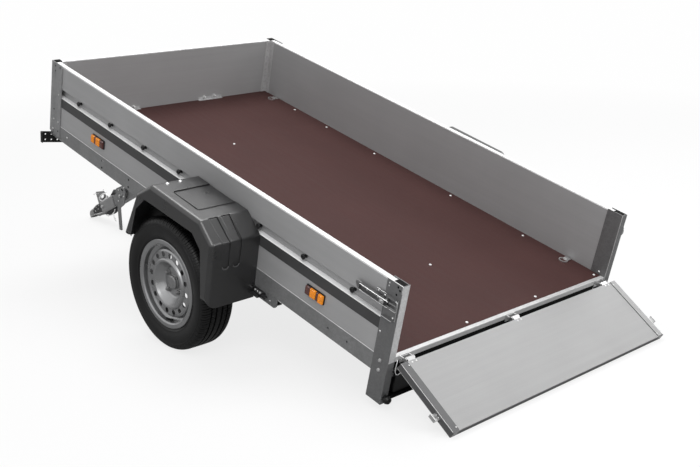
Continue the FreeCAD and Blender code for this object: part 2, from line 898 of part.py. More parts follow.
def rim():
    """Pressed steel wheel: rolled barrel, dished disc with round vents and raised stud pads."""
    half = rim_width / 2 + rim_wall
    flange = rim_radius + rim_flange
    well = rim_radius - well_depth
    under = rim_radius - rim_wall
    edge = well - rim_wall
    barrel = revolved([
        (-half, flange), (-half + rim_wall, flange), (-half + rim_wall, rim_radius),
        (-22, rim_radius), (-10, well), (34, well), (44, rim_radius),
        (half - rim_wall, rim_radius), (half - rim_wall, flange), (half - 1.5, flange),
        (half, flange - 2), (half, rim_radius + 1), (half - 4.5, under), (46, under), (36, edge),
        (-12, edge), (-24, under), (-half + 4.5, under), (-half, rim_radius + 1)])
    face = stud_face - wheel_plane
    back = face - disc_gauge
    ring = face + vent_ring_rise
    crest = face + crest_rise
    hold = edge + 1.5
    disc = revolved([
        (face, nave_bore), (face, nave_radius), (face + 5, nave_radius + 7),
        (ring - 2, crest_radius - 13), (crest - 2, crest_radius - 7), (crest, crest_radius),
        (crest - 2.5, crest_radius + 6.5), (ring, vent_circle - vent_radius - 1.5),
        (ring, vent_circle + vent_radius + 1.5), (ring - 3.5, hold), (face + 5, hold),
        (face + 5, edge - 2.5), (ring - 6.5, edge - 2.5), (ring - disc_gauge, edge - 6.5),
        (ring - disc_gauge, vent_circle - vent_radius - 0.5), (crest - 4.5, crest_radius + 4),
        (crest - 4.5, crest_radius - 4), (face + 1, nave_radius + 10), (back, nave_radius + 2),
        (back, nave_bore)])
    pads = [rod_x(back + 1, face + stud_pad_rise, y, z, stud_pad_radius)
            for y, z in around(stud_count, stud_circle)]
    vents = [rod_x(face, face + 2 * crest_rise, y, z, vent_radius)
             for y, z in around(vent_count, vent_circle)]
    return fused([barrel, disc.cut(vents)] + pads)


def around(count, radius):
    """Points spaced evenly on a circle about the axle, half a step from the horizontal."""
    places = []
    for i in range(count):
        turn = 2 * math.pi * (i + 0.5) / count
        places.append((radius * math.cos(turn), radius * math.sin(turn)))
    return places


def hub():
    """Hub barrel with its flange behind the disc, grease cap, and nuts on the stud pads."""
    face = stud_face - wheel_plane
    back = arm_inner + arm_thickness + 2 - wheel_plane
    flange = face - disc_gauge - 0.2
    body = revolved([(back, 0), (back, 38), (flange - 18, 42), (flange - 8, 58), (flange, 58),
                     (flange, nave_bore - 1), (face + cap_reach - 4, nave_bore - 2),
                     (face + cap_reach - 1, nave_bore - 8), (face + cap_reach, 0)])
    spindle = rod_x(back - 1, face + 8.5, 0, 0, spindle_radius + spindle_clearance)
    nuts = []
    for y, z in around(stud_count, stud_circle):
        start = face + stud_pad_rise + 0.3
        hexagon = [(y + nut_radius * math.cos(k * math.pi / 3), z + nut_radius * math.sin(k * math.pi / 3))
                   for k in range(6)]
        nuts.append(prism_x(hexagon, start, start + nut_height))
    return Part.makeCompound([body.cut(spindle)] + nuts)


# Drawbar hinge on the bed

def spine_tube():
    end = pivot_position - spine_gap
    top = member_foot
    outer = box(-bar_half, bar_half, spine_start, end, top - bar_size, top)
    bore = box(-bar_half + bar_wall, bar_half - bar_wall, spine_start - 1, end + 1,
               top - bar_size + bar_wall, top - bar_wall)
    return outer.cut(bore)


def hinge_plates():
    """Plates hung on the cross members beside the drawbar, lobed round its pin."""
    x0 = bar_half + hinge_plate_gap
    x1 = x0 + hinge_plate_gauge
    top = member_foot
    back = pivot_position - hinge_plate_back
    front = pivot_position + hinge_plate_front
    lobe = hinge_plate_lobe
    plate = prism_x([(back, top, 0), (front, top, 0), (front, top - 14, 8),
                     (pivot_position + lobe, pivot_level - lobe, lobe / 2),
                     (pivot_position - lobe, pivot_level - lobe, lobe / 2),
                     (back, top - bar_size / 2, 8)], x0, x1)
    bore = rod_x(x0 - 1, x1 + 1, pivot_position, pivot_level, pivot_radius + pivot_clearance)
    return pair(plate.cut(bore))


def pivot_pin():
    reach = bar_half + hinge_plate_gap + hinge_plate_gauge
    pin = rod_x(-reach - 4, reach + 12, pivot_position, pivot_level, pivot_radius)
    head = rod_x(-reach - 10, -reach - 0.3, pivot_position, pivot_level, 13)
    nut = rod_x(reach + 0.3, reach + 9, pivot_position, pivot_level, 12)
    return fused([pin, head, nut])


# Drawbar, from the pivot along +Y

def drawbar_tube():
    """Square tube with its rear end rounded about the pivot."""
    bar = fused([box(-bar_half, bar_half, 0, bar_length, -bar_half, bar_half),
                 rod_x(-bar_half, bar_half, 0, 0, bar_half)])
    inner = bar_half - bar_wall
    hollow = box(-inner, inner, bar_half, bar_length + 1, -inner, inner)
    bore = rod_x(-bar_half - 1, bar_half + 1, 0, 0, pivot_radius + pivot_clearance)
    return bar.cut([hollow, bore])


def coupling_section(y, half, low, high, corner):
    """Rounded rectangle across the coupling at y."""
    return rounded_wire(with_radius([(-half, low), (half, low), (half, high), (-half, high)], corner),
                        lambda x, z: Vector(x, y, z))


def coupling_head():
    """Pressed ball coupling: sleeve over the tube's end, neck that narrows, and a domed nose."""
    start = bar_length - sleeve_length
    neck = bar_length + 0.1 * socket_reach
    cup = socket_position - 1.05 * nose_radius
    body = Part.makeLoft([
        coupling_section(start, sleeve_half, -sleeve_half, sleeve_half, sleeve_corner),
        coupling_section(neck, sleeve_half, -sleeve_half, sleeve_half, sleeve_corner),
        coupling_section(cup, nose_radius - 2, -nose_drop, nose_rise - 4, sleeve_corner),
        coupling_section(socket_position, nose_radius - 2, -nose_drop, nose_rise - 6, sleeve_corner)],
        True, True)
    reach = nose_radius
    dome = Part.Face(rounded_wire(with_radius([
        (0, -nose_drop), (reach, -nose_drop), (reach, 0.2 * nose_rise), (0.86 * reach, 0.62 * nose_rise),
        (0.55 * reach, 0.92 * nose_rise), (0, nose_rise)]), lambda u, v: Vector(u, 0, v)))
    nose = dome.revolve(Vector(0, 0, 0), Vector(0, 0, 1), 360)
    room = bar_half + sleeve_gap
    tube_room = box(-room, room, start - 1, bar_length + sleeve_gap, -room, room)
    mouth = box(-room + 8, room - 8, start - 1, socket_position - 1.3 * nose_radius,
                -2 * sleeve_half, -room + 1)
    socket = rod_z(-nose_drop - 1, -nose_drop + socket_depth, 0, socket_position, socket_radius)
    crown = Part.makeSphere(socket_radius, Vector(0, socket_position, -nose_drop + socket_depth))
    crown = crown.common(box(-nose_radius, nose_radius, socket_position - nose_radius,
                             socket_position + nose_radius, -nose_drop, nose_rise - sleeve_wall))
    return fused([body, moved(nose, dy=socket_position)]).cut([tube_room, mouth, socket, crown])


def coupling_handle():
    """Lever on the coupling: strip with a raised tail, upright side plate and oval eye."""
    base = sleeve_half + 0.3
    back = bar_length - lever_back
    knee = bar_length - lever_knee
    front = bar_length - lever_front
    half = lever_half_width
    strip = prism_x([(back, base + lever_tail_rise, 0), (knee, base, 12), (front, base, 0),
                     (front, base + lever_gauge, 0), (knee, base + lever_gauge, 12),
                     (back, base + lever_tail_rise + lever_gauge, 0)], -half, half)
    top = base + lever_plate_rise
    plate = prism_x([(front - lever_plate_length, base, 0), (front, base, 0),
                     (front - lever_gauge, top, 6),
                     (front - lever_gauge - lever_plate_top, top - lever_plate_lean, 10)],
                    -half, -half + lever_gauge)
    eye_y = bar_length - lever_eye_back
    eye_z = base + 1.2 * lever_eye_height
    rim_out = slot_block(eye_y, eye_z, lever_eye_length, lever_eye_height, lever_eye_rim,
                         -half - 2 * lever_gauge, -half + lever_gauge)
    eye = slot_block(eye_y, eye_z, lever_eye_length, lever_eye_height, 0.0,
                     -half - 3 * lever_gauge, -half + 2 * lever_gauge)
    ring_hole = rod_x(-half - 1, -half + lever_gauge + 1, front - 14, top - 12, 4)
    return fused([strip, plate, rim_out]).cut([eye, ring_hole])


def slot_block(y, z, length, height, grown, x0, x1):
    """Round-ended slot, long way along y."""
    a = length / 2 + grown
    b = height / 2 + grown
    return prism_x([(y - a, z - b), (y + a, z - b), (y + a, z + b), (y - a, z + b)], x0, x1, b - 0.1)


def leg_bracket():
    """Plate, boss and pin on the drawbar's left side that carry the support leg."""
    x = bar_half
    outer = x + leg_bracket_gap
    half = leg_bracket_length / 2
    deep = bar_half - bar_wall
    plate = prism_x([(leg_position - half, -deep), (leg_position + half, -deep),
                     (leg_position + half, deep), (leg_position - half, deep)], x, x + leg_gauge / 2, 6)
    boss = rod_x(x, outer, leg_position, 0, 2.4 * leg_pin_radius)
    pin = rod_x(outer, outer + leg_gauge + 10, leg_position, 0, leg_pin_radius)
    head = prism_x([(leg_position + 1.8 * leg_pin_radius * math.cos(k * math.pi / 3),
                     1.8 * leg_pin_radius * math.sin(k * math.pi / 3)) for k in range(6)],
                   outer + leg_gauge + 1, outer + leg_gauge + 8)
    return mirrored(fused([plate, boss, pin, head]))


def support_leg():
    """Strip leg with a broad plate about its pin, straight down from the drawbar."""
    x = bar_half + leg_bracket_gap + 0.5
    front = leg_offset + leg_width / 2
    rear = leg_offset - leg_width / 2
    strip = prism_x([
        (rear, -leg_length, 4), (front, -leg_length, 4), (front + 6, 0.5 * leg_plate_rise, 6),
        (-leg_plate_back + 6, leg_plate_rise, 8), (-leg_plate_back, 0.35 * leg_plate_rise, 8),
        (-0.5 * leg_plate_back, -0.8 * leg_plate_drop, 10), (rear, -leg_plate_drop - 10, 10)],
        x, x + leg_gauge - 0.5)
    bore = rod_x(x - 1, x + leg_gauge + 1, 0, 0, leg_pin_radius + leg_pin_clearance)
    grip = rod_x(x - 1, x + leg_gauge + 1, -0.45 * leg_plate_back, 0.55 * leg_plate_rise, 9)
    return mirrored(strip.cut([bore, grip]))


def plug_holder():
    """Perforated upright on the drawbar that parks the electrical plug."""
    y = bar_length - plug_setback
    width = plug_plate_width
    rise = plug_plate_rise
    plate = prism_x([(y, bar_half, 0), (y + width, bar_half, 0), (y + width + 4, bar_half + rise, 8),
                     (y + 4, bar_half + rise + 6, 8)], -bar_wall, 0)
    foot = box(-bar_half + 4, 0, y, y + width, bar_half, bar_half + bar_wall)
    hole = rod_x(-bar_wall - 2, 2, y + width / 2 + 3, bar_half + 0.62 * rise, plug_hole_radius)
    return fused([plate, foot]).cut(hole)


# Tailgate, closed, about its hinge axis

def gate_board():
    """Board with its grooved face to the rear."""
    foot = gate_gap
    deep = board_thickness - groove_depth
    half = board_thickness / 2
    shift = foot - board_foot
    scale_top = foot + gate_height
    corners = [
        (half, foot, 1), (half, scale_top, rail_radius), (-half, scale_top, rail_radius),
        (-half, groove_top + shift, 2), (half - deep, groove_top + shift, 2),
        (half - deep, groove_bottom + ledge_rise + shift, 2), (-half, groove_bottom + shift, 1),
        (-half, foot, 1),
    ]
    skin = half - board_wall
    spans = [(groove_top + shift + board_wall, scale_top - board_wall),
             (foot + board_wall, groove_bottom + shift - 2 * board_wall)]
    end = gate_length / 2 - gate_cap
    chambers = [prism_x([(skin, low), (skin, high), (-skin, high), (-skin, low)],
                        -end - 1, end + 1, 1) for low, high in spans]
    return prism_x(corners, -end, end).cut(chambers)


def gate_caps():
    """Channels closing the tailgate's two ends."""
    half = board_thickness / 2 + 1.5
    end = gate_length / 2
    cap = box(end - 28, end, -half, half, gate_gap, gate_gap + gate_height)
    room = box(end - 40, end - gate_cap, -board_thickness / 2, board_thickness / 2,
               gate_gap - 1, gate_gap + gate_height + 1)
    return pair(cap.cut(room))


def gate_strikers():
    """Hooks on the ends of the tailgate that the latches pull on."""
    z = gate_gap + striker_level
    end = gate_length / 2
    tip = end + striker_reach
    base = -striker_gauge + 1
    arm = box(end, tip, base, 1, z, z + striker_height)
    hook = box(tip - striker_gauge, tip, base, 12, z, z + striker_height)
    hole = rod_y(base - 1, 2, end + striker_reach / 2 - 2, z + striker_height / 2, 5)
    return pair(fused([arm, hook]).cut(hole))


def gate_hinge_places():
    end = gate_length / 2 - hinge_inset
    return (-end, 0.0, end)


def gate_hinges():
    """Eyes under the board that turn on the sill's pins."""
    eyes = []
    half = hinge_eye_width / 2
    for x in gate_hinge_places():
        eye = rod_x(x - half, x + half, 0, 0, hinge_eye_radius)
        tongue = box(x - half, x + half, -board_thickness / 2 + 4, board_thickness / 2 - 4,
                     0, gate_gap)
        bore = rod_x(x - half - 1, x + half + 1, 0, 0, hinge_pin_radius + hinge_pin_clearance)
        eyes.append(fused([eye, tongue]).cut(bore))
    return Part.makeCompound(eyes)


def sill_hinges():
    """Cheeks and pins on the sill that carry the tailgate."""
    y = -gate_axis_back
    z = gate_axis_level
    half = hinge_eye_width / 2
    hinges = []
    for x in gate_hinge_places():
        pieces = [rod_x(x - half - 1.5 - hinge_cheek, x + half + 1.5 + hinge_cheek, y, z,
                        hinge_pin_radius)]
        for side in (-1, 1):
            inner = x + side * (half + 1.5)
            outer = inner + side * hinge_cheek
            x0 = min(inner, outer)
            x1 = max(inner, outer)
            pieces.append(rod_x(x0, x1, y, z, hinge_eye_radius))
            pieces.append(box(x0, x1, y, post_gauge, z - hinge_eye_radius, z + hinge_eye_radius - 4))
        pieces.append(box(x - half - 1.5 - hinge_cheek, x + half + 1.5 + hinge_cheek,
                          0, post_gauge, z - 3 * hinge_eye_radius, z))
        hinges.append(fused(pieces))
    return Part.makeCompound(hinges)


def tail_latches():
    """Over-centre latches on the rear posts: base, channel-shaped lever and wire bail."""
    x = post_face
    base = box(x, x + latch_gauge, latch_base_start, latch_base_end, latch_base_foot, latch_base_top)
    flanges = [box(x, x + latch_flange, latch_base_start + 6, latch_base_end - 6, z, z + latch_gauge)
               for z in (latch_base_foot, latch_base_top - latch_gauge)]
    arm = box(x, x + latch_gauge, latch_base_start, latch_arm_end,
              latch_base_top - latch_arm_height, latch_base_top)
    web_x = x + latch_lever_stand
    low = latch_level - latch_lever_height / 2
    high = latch_level + latch_lever_height / 2
    side = [(latch_lever_start, low, 3), (latch_lever_end - 14, low, 4), (latch_lever_end, high - 6, 4),
            (latch_lever_end - 3, high, 3), (latch_lever_start, high, 3)]
    lever = prism_x(side, web_x, web_x + latch_lever_depth)
    trough = box(web_x + latch_gauge, web_x + latch_lever_depth + 1, latch_lever_start - 1,
                 latch_lever_end - 22, low + latch_gauge, high - latch_gauge)
    slope = prism_z([(web_x + 0.5 * latch_lever_depth, latch_lever_end + 1),
                     (web_x + latch_lever_depth + 1, latch_lever_end + 1),
                     (web_x + latch_lever_depth + 1, latch_lever_end - 40)], low - 1, high + 1)
    lever = lever.cut([trough, slope])
    pivot_y = (latch_lever_start + latch_base_end) / 2
    stem = rod_x(x, web_x + 1, pivot_y, latch_level, 6)
    bail_x = web_x + latch_lever_depth / 2 + 1
    rear = latch_bail_radius + 1
    bars = [rod_y(rear, pivot_y, bail_x, latch_level + side_of * latch_bail_spread, latch_bail_radius)
            for side_of in (-1, 1)]
    end_bar = rod_z(latch_level - latch_bail_spread, latch_level + latch_bail_spread, bail_x, rear,
                    latch_bail_radius)
    block = box(web_x, bail_x + 2, pivot_y - 5, pivot_y + 5, low + 1, high - 1)
    return pair(fused([base, arm, lever, stem, block, end_bar] + flanges + bars))


# The whole trailer

BED = {
    "floor_panel": floor_panel(),
    "side_board_right": side_board(),
    "side_board_left": mirrored(side_board()),
    "front_board": front_board(),
    "side_beams": pair(side_beam()),
    "cross_members": cross_members(),
    "front_beam": front_beam(),
    "rear_sill": rear_sill(),
    "rear_posts": pair(rear_post()),
    "front_posts": pair(front_post()),
    "corner_strips": corner_angles(),
    "post_caps": post_caps(),
    "post_buffers": post_buffers(),
    "lamp_bar": lamp_bar(),
    "rear_lamps": rear_lamps(),
    "plate_holder": plate_holder(),
    "tarp_hooks": tarp_hooks(),
    "side_markers": side_markers(),
    "tie_rings": tie_rings(),
    "lamp_brackets": lamp_brackets(),
    "axle_rails": axle_rails(),
    "axle_tube": axle_tube(),
    "swing_arms": pair(swing_arm()),
    "mudguard_right": mudguard(),
    "mudguard_left": mirrored(mudguard()),
    "spine_tube": spine_tube(),
    "hinge_plates": hinge_plates(),
    "pivot_pin": pivot_pin(),
    "sill_hinges": sill_hinges(),
    "tail_latches": tail_latches(),
}

DRAWBAR = {
    "drawbar_tube": drawbar_tube(),
    "coupling_head": coupling_head(),
    "coupling_handle": coupling_handle(),
    "leg_bracket": leg_bracket(),
    "plug_holder": plug_holder(),
}

TAILGATE = {
    "tailgate_board": gate_board(),
    "tailgate_caps": gate_caps(),
    "tailgate_strikers": gate_strikers(),
    "tailgate_hinges": gate_hinges(),
}

WHEEL = {"tyre": tyre(), "rim": rim(), "hub": hub()}


def on_bed(shape, y=0.0, z=0.0, turn=0.0):
    """Place a shape of a frame that lies at y, z on the bed, turned about X."""
    placed = turned(shape, Vector(1, 0, 0), turn)
    placed.translate(Vector(0, y, z))
    placed = turned(placed, Vector(1, 0, 0), bed_tilt)
    placed.translate(Vector(0, 0, floor_drop))
    return placed


def assembled():
    fold = -(bar_slope + bed_tilt)
    placed = {}
    for name, shape in BED.items():
        placed[name] = on_bed(shape)
    for name, shape in DRAWBAR.items():
        placed[name] = on_bed(shape, pivot_position, pivot_level, fold)
    for name, shape in TAILGATE.items():
        placed[name] = on_bed(shape, -gate_axis_back, gate_axis_level, gate_open)
    for name, shape in WHEEL.items():
        right = moved(shape, dx=wheel_plane)
        placed[name + "_right"] = on_bed(right, hub_position, hub_level, -bed_tilt)
        placed[name + "_left"] = mirrored(placed[name + "_right"])
    leg_y, leg_z = tilt_point(leg_position, 0, fold)
    placed["support_leg"] = on_bed(support_leg(), pivot_position + leg_y, pivot_level + leg_z,
                                   -bed_tilt)
    return placed


def centred(placed):
    """Shift the trailer so that the middle of its length is at the origin."""
    whole = Part.makeCompound(list(placed.values())).optimalBoundingBox(False, False)
    shift = -(whole.YMin + whole.YMax) / 2
    return {name: moved(shape, dy=shift) for name, shape in placed.items()}, shift


PARTS, length_shift = centred(assembled())

os.makedirs("parts", exist_ok=True)
for name, shape in PARTS.items():
    shape.exportStep("parts/" + name + ".step")
    print("%-20s %d solids, valid %s, volume %.0f" % (
        name, len(shape.Solids), shape.isValid(), shape.Volume))
print("tilt %.3f, drawbar slope %.3f, leg %.1f, post foot %.1f, shift %.2f" % (
    bed_tilt, bar_slope, leg_length, post_foot, length_shift))
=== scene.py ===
import json
import math

import bmesh
import bpy
from mathutils import Matrix, Vector


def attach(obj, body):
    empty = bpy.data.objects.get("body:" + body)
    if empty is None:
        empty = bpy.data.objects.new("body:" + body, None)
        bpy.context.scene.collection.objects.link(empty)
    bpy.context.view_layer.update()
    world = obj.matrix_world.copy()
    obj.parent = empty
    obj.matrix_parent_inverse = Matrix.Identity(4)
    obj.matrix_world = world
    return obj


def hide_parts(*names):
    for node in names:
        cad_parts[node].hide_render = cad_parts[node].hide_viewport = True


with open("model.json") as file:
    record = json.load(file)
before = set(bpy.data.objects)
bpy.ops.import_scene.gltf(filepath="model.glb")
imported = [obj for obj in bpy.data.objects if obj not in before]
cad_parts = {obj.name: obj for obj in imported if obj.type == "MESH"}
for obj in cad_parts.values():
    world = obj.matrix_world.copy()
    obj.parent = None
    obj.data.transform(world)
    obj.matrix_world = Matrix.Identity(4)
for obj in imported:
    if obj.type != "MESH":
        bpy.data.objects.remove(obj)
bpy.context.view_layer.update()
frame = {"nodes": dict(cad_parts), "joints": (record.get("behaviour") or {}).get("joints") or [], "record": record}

record = frame["record"]
nodes = frame["nodes"]
mounts = {m["name"]: m for m in record["mounts"]}
joints = {j["name"]: j for j in frame["joints"]}

# Sizes in mm that the detail pieces share with the solids
BED_LENGTH = 2341.0
OUTER = 650.0
INNER = 625.0
BEAM_FACE = 652.0
POST_FACE = 655.0
BOARD_TOP = 287.0
FRONT_INNER = 2316.0
BOARD_START = 74.0
BOARD_END = 2310.0
GROOVE_SEAT = 632.0
STRIPE_LOW = 89.2
STRIPE_HIGH = 122.8
FILM_LOW = 86.8
FILM_HIGH = 131.6
BEAM_TOP = -9.0
HOOK_COUNT = 8
HOOK_INSET = 232.8
HOOK_LEVEL = 157.0
MARKERS = (403.0, 1915.0)
MARKER_LEVEL = 50.0
LAMP_LEVEL = -131.2
LAMP_SEAT = 37.0
LAMP_OUTER = 582.0
RAIL_FOOT = -122.0
AXLE = (1193.7, -147.0)
PIVOT = (1990.0, -120.0)
TYRE_RADIUS = 273.5
DISC_FACE = 25.5
STUD_CIRCLE = 49.0
SLEEVE_HALF = 34.3
SOCKET = 1250.0
GATE_END = 635.0
GATE_FACE = 14.0
SHARP = math.radians(32)

# Directions in the row frame and in a body's own axes, where OUT is away from its middle plane
OUT = Vector((1, 0, 0))
AHEAD = Vector((0, 1, 0))
UP = Vector((0, 0, 1))


class Local:
    """Axes of one body. Points go in as millimetres and come out in the row frame in metres."""

    def __init__(self, body, origin, right, ahead, up):
        self.body = body
        self.axes = (origin, right, ahead, up)
        self.matrix = Matrix.Translation(origin) @ Matrix((right, ahead, up)).transposed().to_4x4()

    def __call__(self, x, y, z):
        return self.matrix @ Vector((x / 1000, y / 1000, z / 1000))

    def turn(self, direction):
        """Unit vector in the row frame of a direction in this one."""
        return (self.matrix.to_3x3() @ Vector(direction)).normalized()

    def sides(self):
        """This frame and its mirror image in x, so that a piece is written once for both sides."""
        origin, right, ahead, up = self.axes
        return (("right", self), ("left", Local(self.body, origin, -right, ahead, up)))


places = {name: Vector(joint["pos_m"]) for name, joint in joints.items()}

floor_up = Vector(mounts["load_floor"]["axis"]).normalized()
floor_ahead = floor_up.cross(OUT).normalized()
floor_middle = Vector(mounts["load_floor"]["pos_m"])
bed = Local("bed", floor_middle - floor_ahead * BED_LENGTH / 2000, OUT, floor_ahead, floor_up)
bed_tilt = math.atan2(floor_ahead.z, floor_ahead.y)

bar_up = -Vector(mounts["tow_ball_socket"]["axis"]).normalized()
bar_ahead = bar_up.cross(OUT).normalized()
bar = Local("drawbar", places["drawbar_fold"], OUT, bar_ahead, bar_up)
bar_slope = math.atan2(bar_ahead.z, bar_ahead.y)

gate_open = math.radians(-joints["tailgate_hinge"]["range_deg"][0])
gate_turn = Matrix.Rotation(gate_open, 3, OUT)
gate = Local("tailgate", places["tailgate_hinge"], OUT, gate_turn @ floor_ahead, gate_turn @ floor_up)

WHEELS = {
    "right": Local("wheel_right", places["wheel_right_spin"], OUT, AHEAD, UP),
    "left": Local("wheel_left", places["wheel_left_spin"], -OUT, AHEAD, UP),
}
leg = Local("support_leg", places["leg_swing"], OUT, AHEAD, UP)


def add_object(name, data):
    """New object with its data, in the scene."""
    o = bpy.data.objects.new(name, data)
    bpy.context.scene.collection.objects.link(o)
    return o


# Materials by name, filled by material()
MATS = {}
# Length of a pattern's features along a brushed face, against their width
FINE_LINES = 400
BROAD_BANDS = 40
# Middle part of a pattern's values that is stretched over the whole effect
PATTERN_LOW = 0.3
PATTERN_HIGH = 0.7


def node(tree, kind, inputs, **settings):
    """New shader node. An input is linked where its value is another node's output, else it is set."""
    made = tree.nodes.new("ShaderNode" + kind)
    for key, value in settings.items():
        setattr(made, key, value)
    for key, value in inputs.items():
        if isinstance(value, bpy.types.NodeSocket):
            tree.links.new(value, made.inputs[key])
        else:
            made.inputs[key].default_value = value
    return made


def surface_input(m, name):
    """Input of a material's surface shader."""
    return m.node_tree.nodes["Principled BSDF"].inputs[name]


def material(name, base, rough, metal=0.0, **extra):
    """Plain surface. Further inputs go by their names, with an underscore for each space."""
    m = bpy.data.materials.new(name)
    m.use_nodes = True
    extra.update(Base_Color=(*base, 1), Roughness=rough, Metallic=metal)
    for key, value in extra.items():
        surface_input(m, key.replace("_", " ")).default_value = value
    MATS[name] = m
    return m


def texture(m, size, lean=0.0, stretch=(1, 1, 1), kind="noise", detail=4.0):
    """Procedural pattern in object space: features of size metres, axes leaned about X, then stretched."""
    t = m.node_tree
    place = {"Vector": node(t, "TexCoord", {}).outputs["Object"], "Rotation": (lean, 0, 0),
             "Scale": [size * s for s in stretch]}
    inputs = {"Vector": node(t, "Mapping", place, vector_type="TEXTURE").outputs["Vector"], "Scale": 1.0}
    if kind == "cells":
        return node(t, "TexVoronoi", inputs).outputs["Color"]
    return node(t, "TexNoise", {**inputs, "Detail": detail}).outputs["Fac"]


def spread(m, out, low, high):
    """Pattern value brought to the range low to high."""
    span = {"Value": out, "From Min": PATTERN_LOW, "From Max": PATTERN_HIGH, "To Min": low, "To Max": high}
    return node(m.node_tree, "MapRange", span).outputs["Result"]


def relief(m, out, strength, distance):
    """Adds the pattern to the surface's bump, on top of what it has."""
    normal = surface_input(m, "Normal")
    inputs = {"Strength": strength, "Distance": distance, "Height": out}
    if normal.is_linked:
        inputs["Normal"] = normal.links[0].from_socket
    bump = node(m.node_tree, "Bump", inputs)
    m.node_tree.links.new(bump.outputs["Normal"], normal)


def shade(m, out, amount):
    """Lets the pattern lighten and darken the base colour by a share, on top of earlier patterns."""
    colour = surface_input(m, "Base Color")
    before = colour.links[0].from_socket if colour.is_linked else colour.default_value[:3]
    inputs = {0: before, "Scale": spread(m, out, 1 - amount, 1 + amount)}
    scaled = node(m.node_tree, "VectorMath", inputs, operation="SCALE")
    m.node_tree.links.new(scaled.outputs["Vector"], colour)


def gloss(m, out, amount):
    """Lets the pattern shift the roughness either way."""
    rough = surface_input(m, "Roughness")
    middle = rough.default_value
    m.node_tree.links.new(spread(m, out, middle - amount, middle + amount), rough)


def brushed(name, base, lean, along, rough=0.5, metal=0.3):
    """Extruded aluminium with fine die lines and faint broad bands along x or y of its leaned frame."""
    m = material(name, base, rough, metal)
    fine, broad = ((k, 1, 1) if along == "x" else (1, k, 1) for k in (FINE_LINES, BROAD_BANDS))
    lines = texture(m, 0.0012, lean, fine)
    relief(m, lines, 0.12, 0.0004)
    shade(m, lines, 0.04)
    shade(m, texture(m, 0.022, lean, broad, detail=2.0), 0.02)
    shade(m, texture(m, 0.25, lean), 0.03)
    gloss(m, lines, 0.06)


def galvanised(name, base, rough=0.5, metal=0.75, mottle=0.07):
    """Zinc-dipped steel: soft spangle, cloudy patches and a slightly orange-peel face."""
    m = material(name, base, rough, metal)
    spangle = texture(m, 0.006, kind="cells")
    shade(m, spangle, mottle)
    shade(m, texture(m, 0.09), mottle)
    relief(m, texture(m, 0.003), 0.08, 0.0003)
    gloss(m, spangle, 0.05)


def polished(name, base, rough=0.3, metal=0.9):
    """Smooth plated steel with only a slow change of tone."""
    m = material(name, base, rough, metal)
    cloud = texture(m, 0.03)
    shade(m, cloud, 0.05)
    gloss(m, cloud, 0.04)


def moulded(name, base, rough, grit=0.0012, strength=0.25, **extra):
    """Plastic, rubber or paint with a fine grain and slow changes of tone."""
    m = material(name, base, rough, **extra)
    relief(m, texture(m, grit), strength, 0.0004)
    slow = texture(m, 0.07)
    shade(m, slow, 0.08)
    gloss(m, slow, 0.04)


def plywood(name, base, rough, **extra):
    """Film-faced floor: brown film over birch, with a fine wire-mesh print and faint long scuffs."""
    m = material(name, base, rough, **extra)
    mesh_print = texture(m, 0.0028, bed_tilt, kind="cells")
    scuffs = texture(m, 0.02, bed_tilt, (1, 14, 1), detail=3.0)
    relief(m, mesh_print, 0.25, 0.0004)
    shade(m, mesh_print, 0.06)
    shade(m, scuffs, 0.05)
    shade(m, texture(m, 0.3), 0.05)
    gloss(m, scuffs, 0.05)


def lens(name, base, rough=0.16):
    """Moulded lamp lens with fine prisms behind a glossy face."""
    m = material(name, base, rough, Coat_Weight=0.4, Coat_Roughness=0.08)
    prisms = texture(m, 0.003, bed_tilt, kind="cells")
    shade(m, prisms, 0.16)
    relief(m, prisms, 0.2, 0.0006)


brushed("board_aluminium", (0.38, 0.38, 0.383), bed_tilt, "y")
brushed("board_across", (0.37, 0.37, 0.373), bed_tilt, "x")
brushed("gate_aluminium", (0.31, 0.31, 0.31), bed_tilt + gate_open, "x")
brushed("cap_aluminium", (0.115, 0.115, 0.117), bed_tilt + gate_open, "x", metal=0.5)
# Near white for the board rails and the caps' edge trims: painted highlight
brushed("painted_highlight_white", (0.72, 0.72, 0.72), bed_tilt, "y", metal=0.1)
# Near white for the board ledges: painted highlight
brushed("painted_ledge_highlight", (0.92, 0.92, 0.92), bed_tilt, "y", metal=0.1)
galvanised("galvanised_steel", (0.25, 0.252, 0.254), metal=0.55)
galvanised("post_zinc", (0.17, 0.171, 0.173), metal=0.55)
# Pale zinc of the corner strips, also painted on the left post's rear face as light
galvanised("strip_zinc", (0.50, 0.50, 0.502), metal=0.35)
# Pale zinc for the floor rivets, also painted as highlights on the post edges and as light on the sill plate
galvanised("edge_zinc", (0.62, 0.62, 0.62), rough=0.4, metal=0.5, mottle=0.04)
galvanised("front_zinc", (0.30, 0.302, 0.305), metal=0.5)
galvanised("coupling_zinc", (0.34, 0.34, 0.342), rough=0.4, metal=0.6, mottle=0.03)
galvanised("hub_steel", (0.26, 0.26, 0.262), rough=0.4)
galvanised("dark_zinc", (0.07, 0.07, 0.072), rough=0.45)
polished("bright_zinc", (0.62, 0.62, 0.62))
polished("wire_bright", (0.88, 0.88, 0.88), rough=0.35, metal=0.2)
polished("latch_steel", (0.22, 0.22, 0.222), rough=0.36, metal=0.7)
plywood("plywood_film", (0.052, 0.024, 0.0225), 0.62, Specular_IOR_Level=0.1)
moulded("stripe_film", (0.045, 0.045, 0.046), 0.5)
moulded("black_plastic", (0.018, 0.018, 0.0185), 0.31, Specular_IOR_Level=0.8)
moulded("edge_plastic", (0.10, 0.10, 0.102), 0.42)
moulded("black_rubber", (0.006, 0.006, 0.006), 0.42, Specular_IOR_Level=0.3)
moulded("tyre_rubber", (0.0045, 0.0045, 0.0047), 0.43, 0.002, 0.3, Specular_IOR_Level=0.3)
moulded("wheel_silver", (0.335, 0.337, 0.341), 0.30, strength=0.06, metal=0.85)
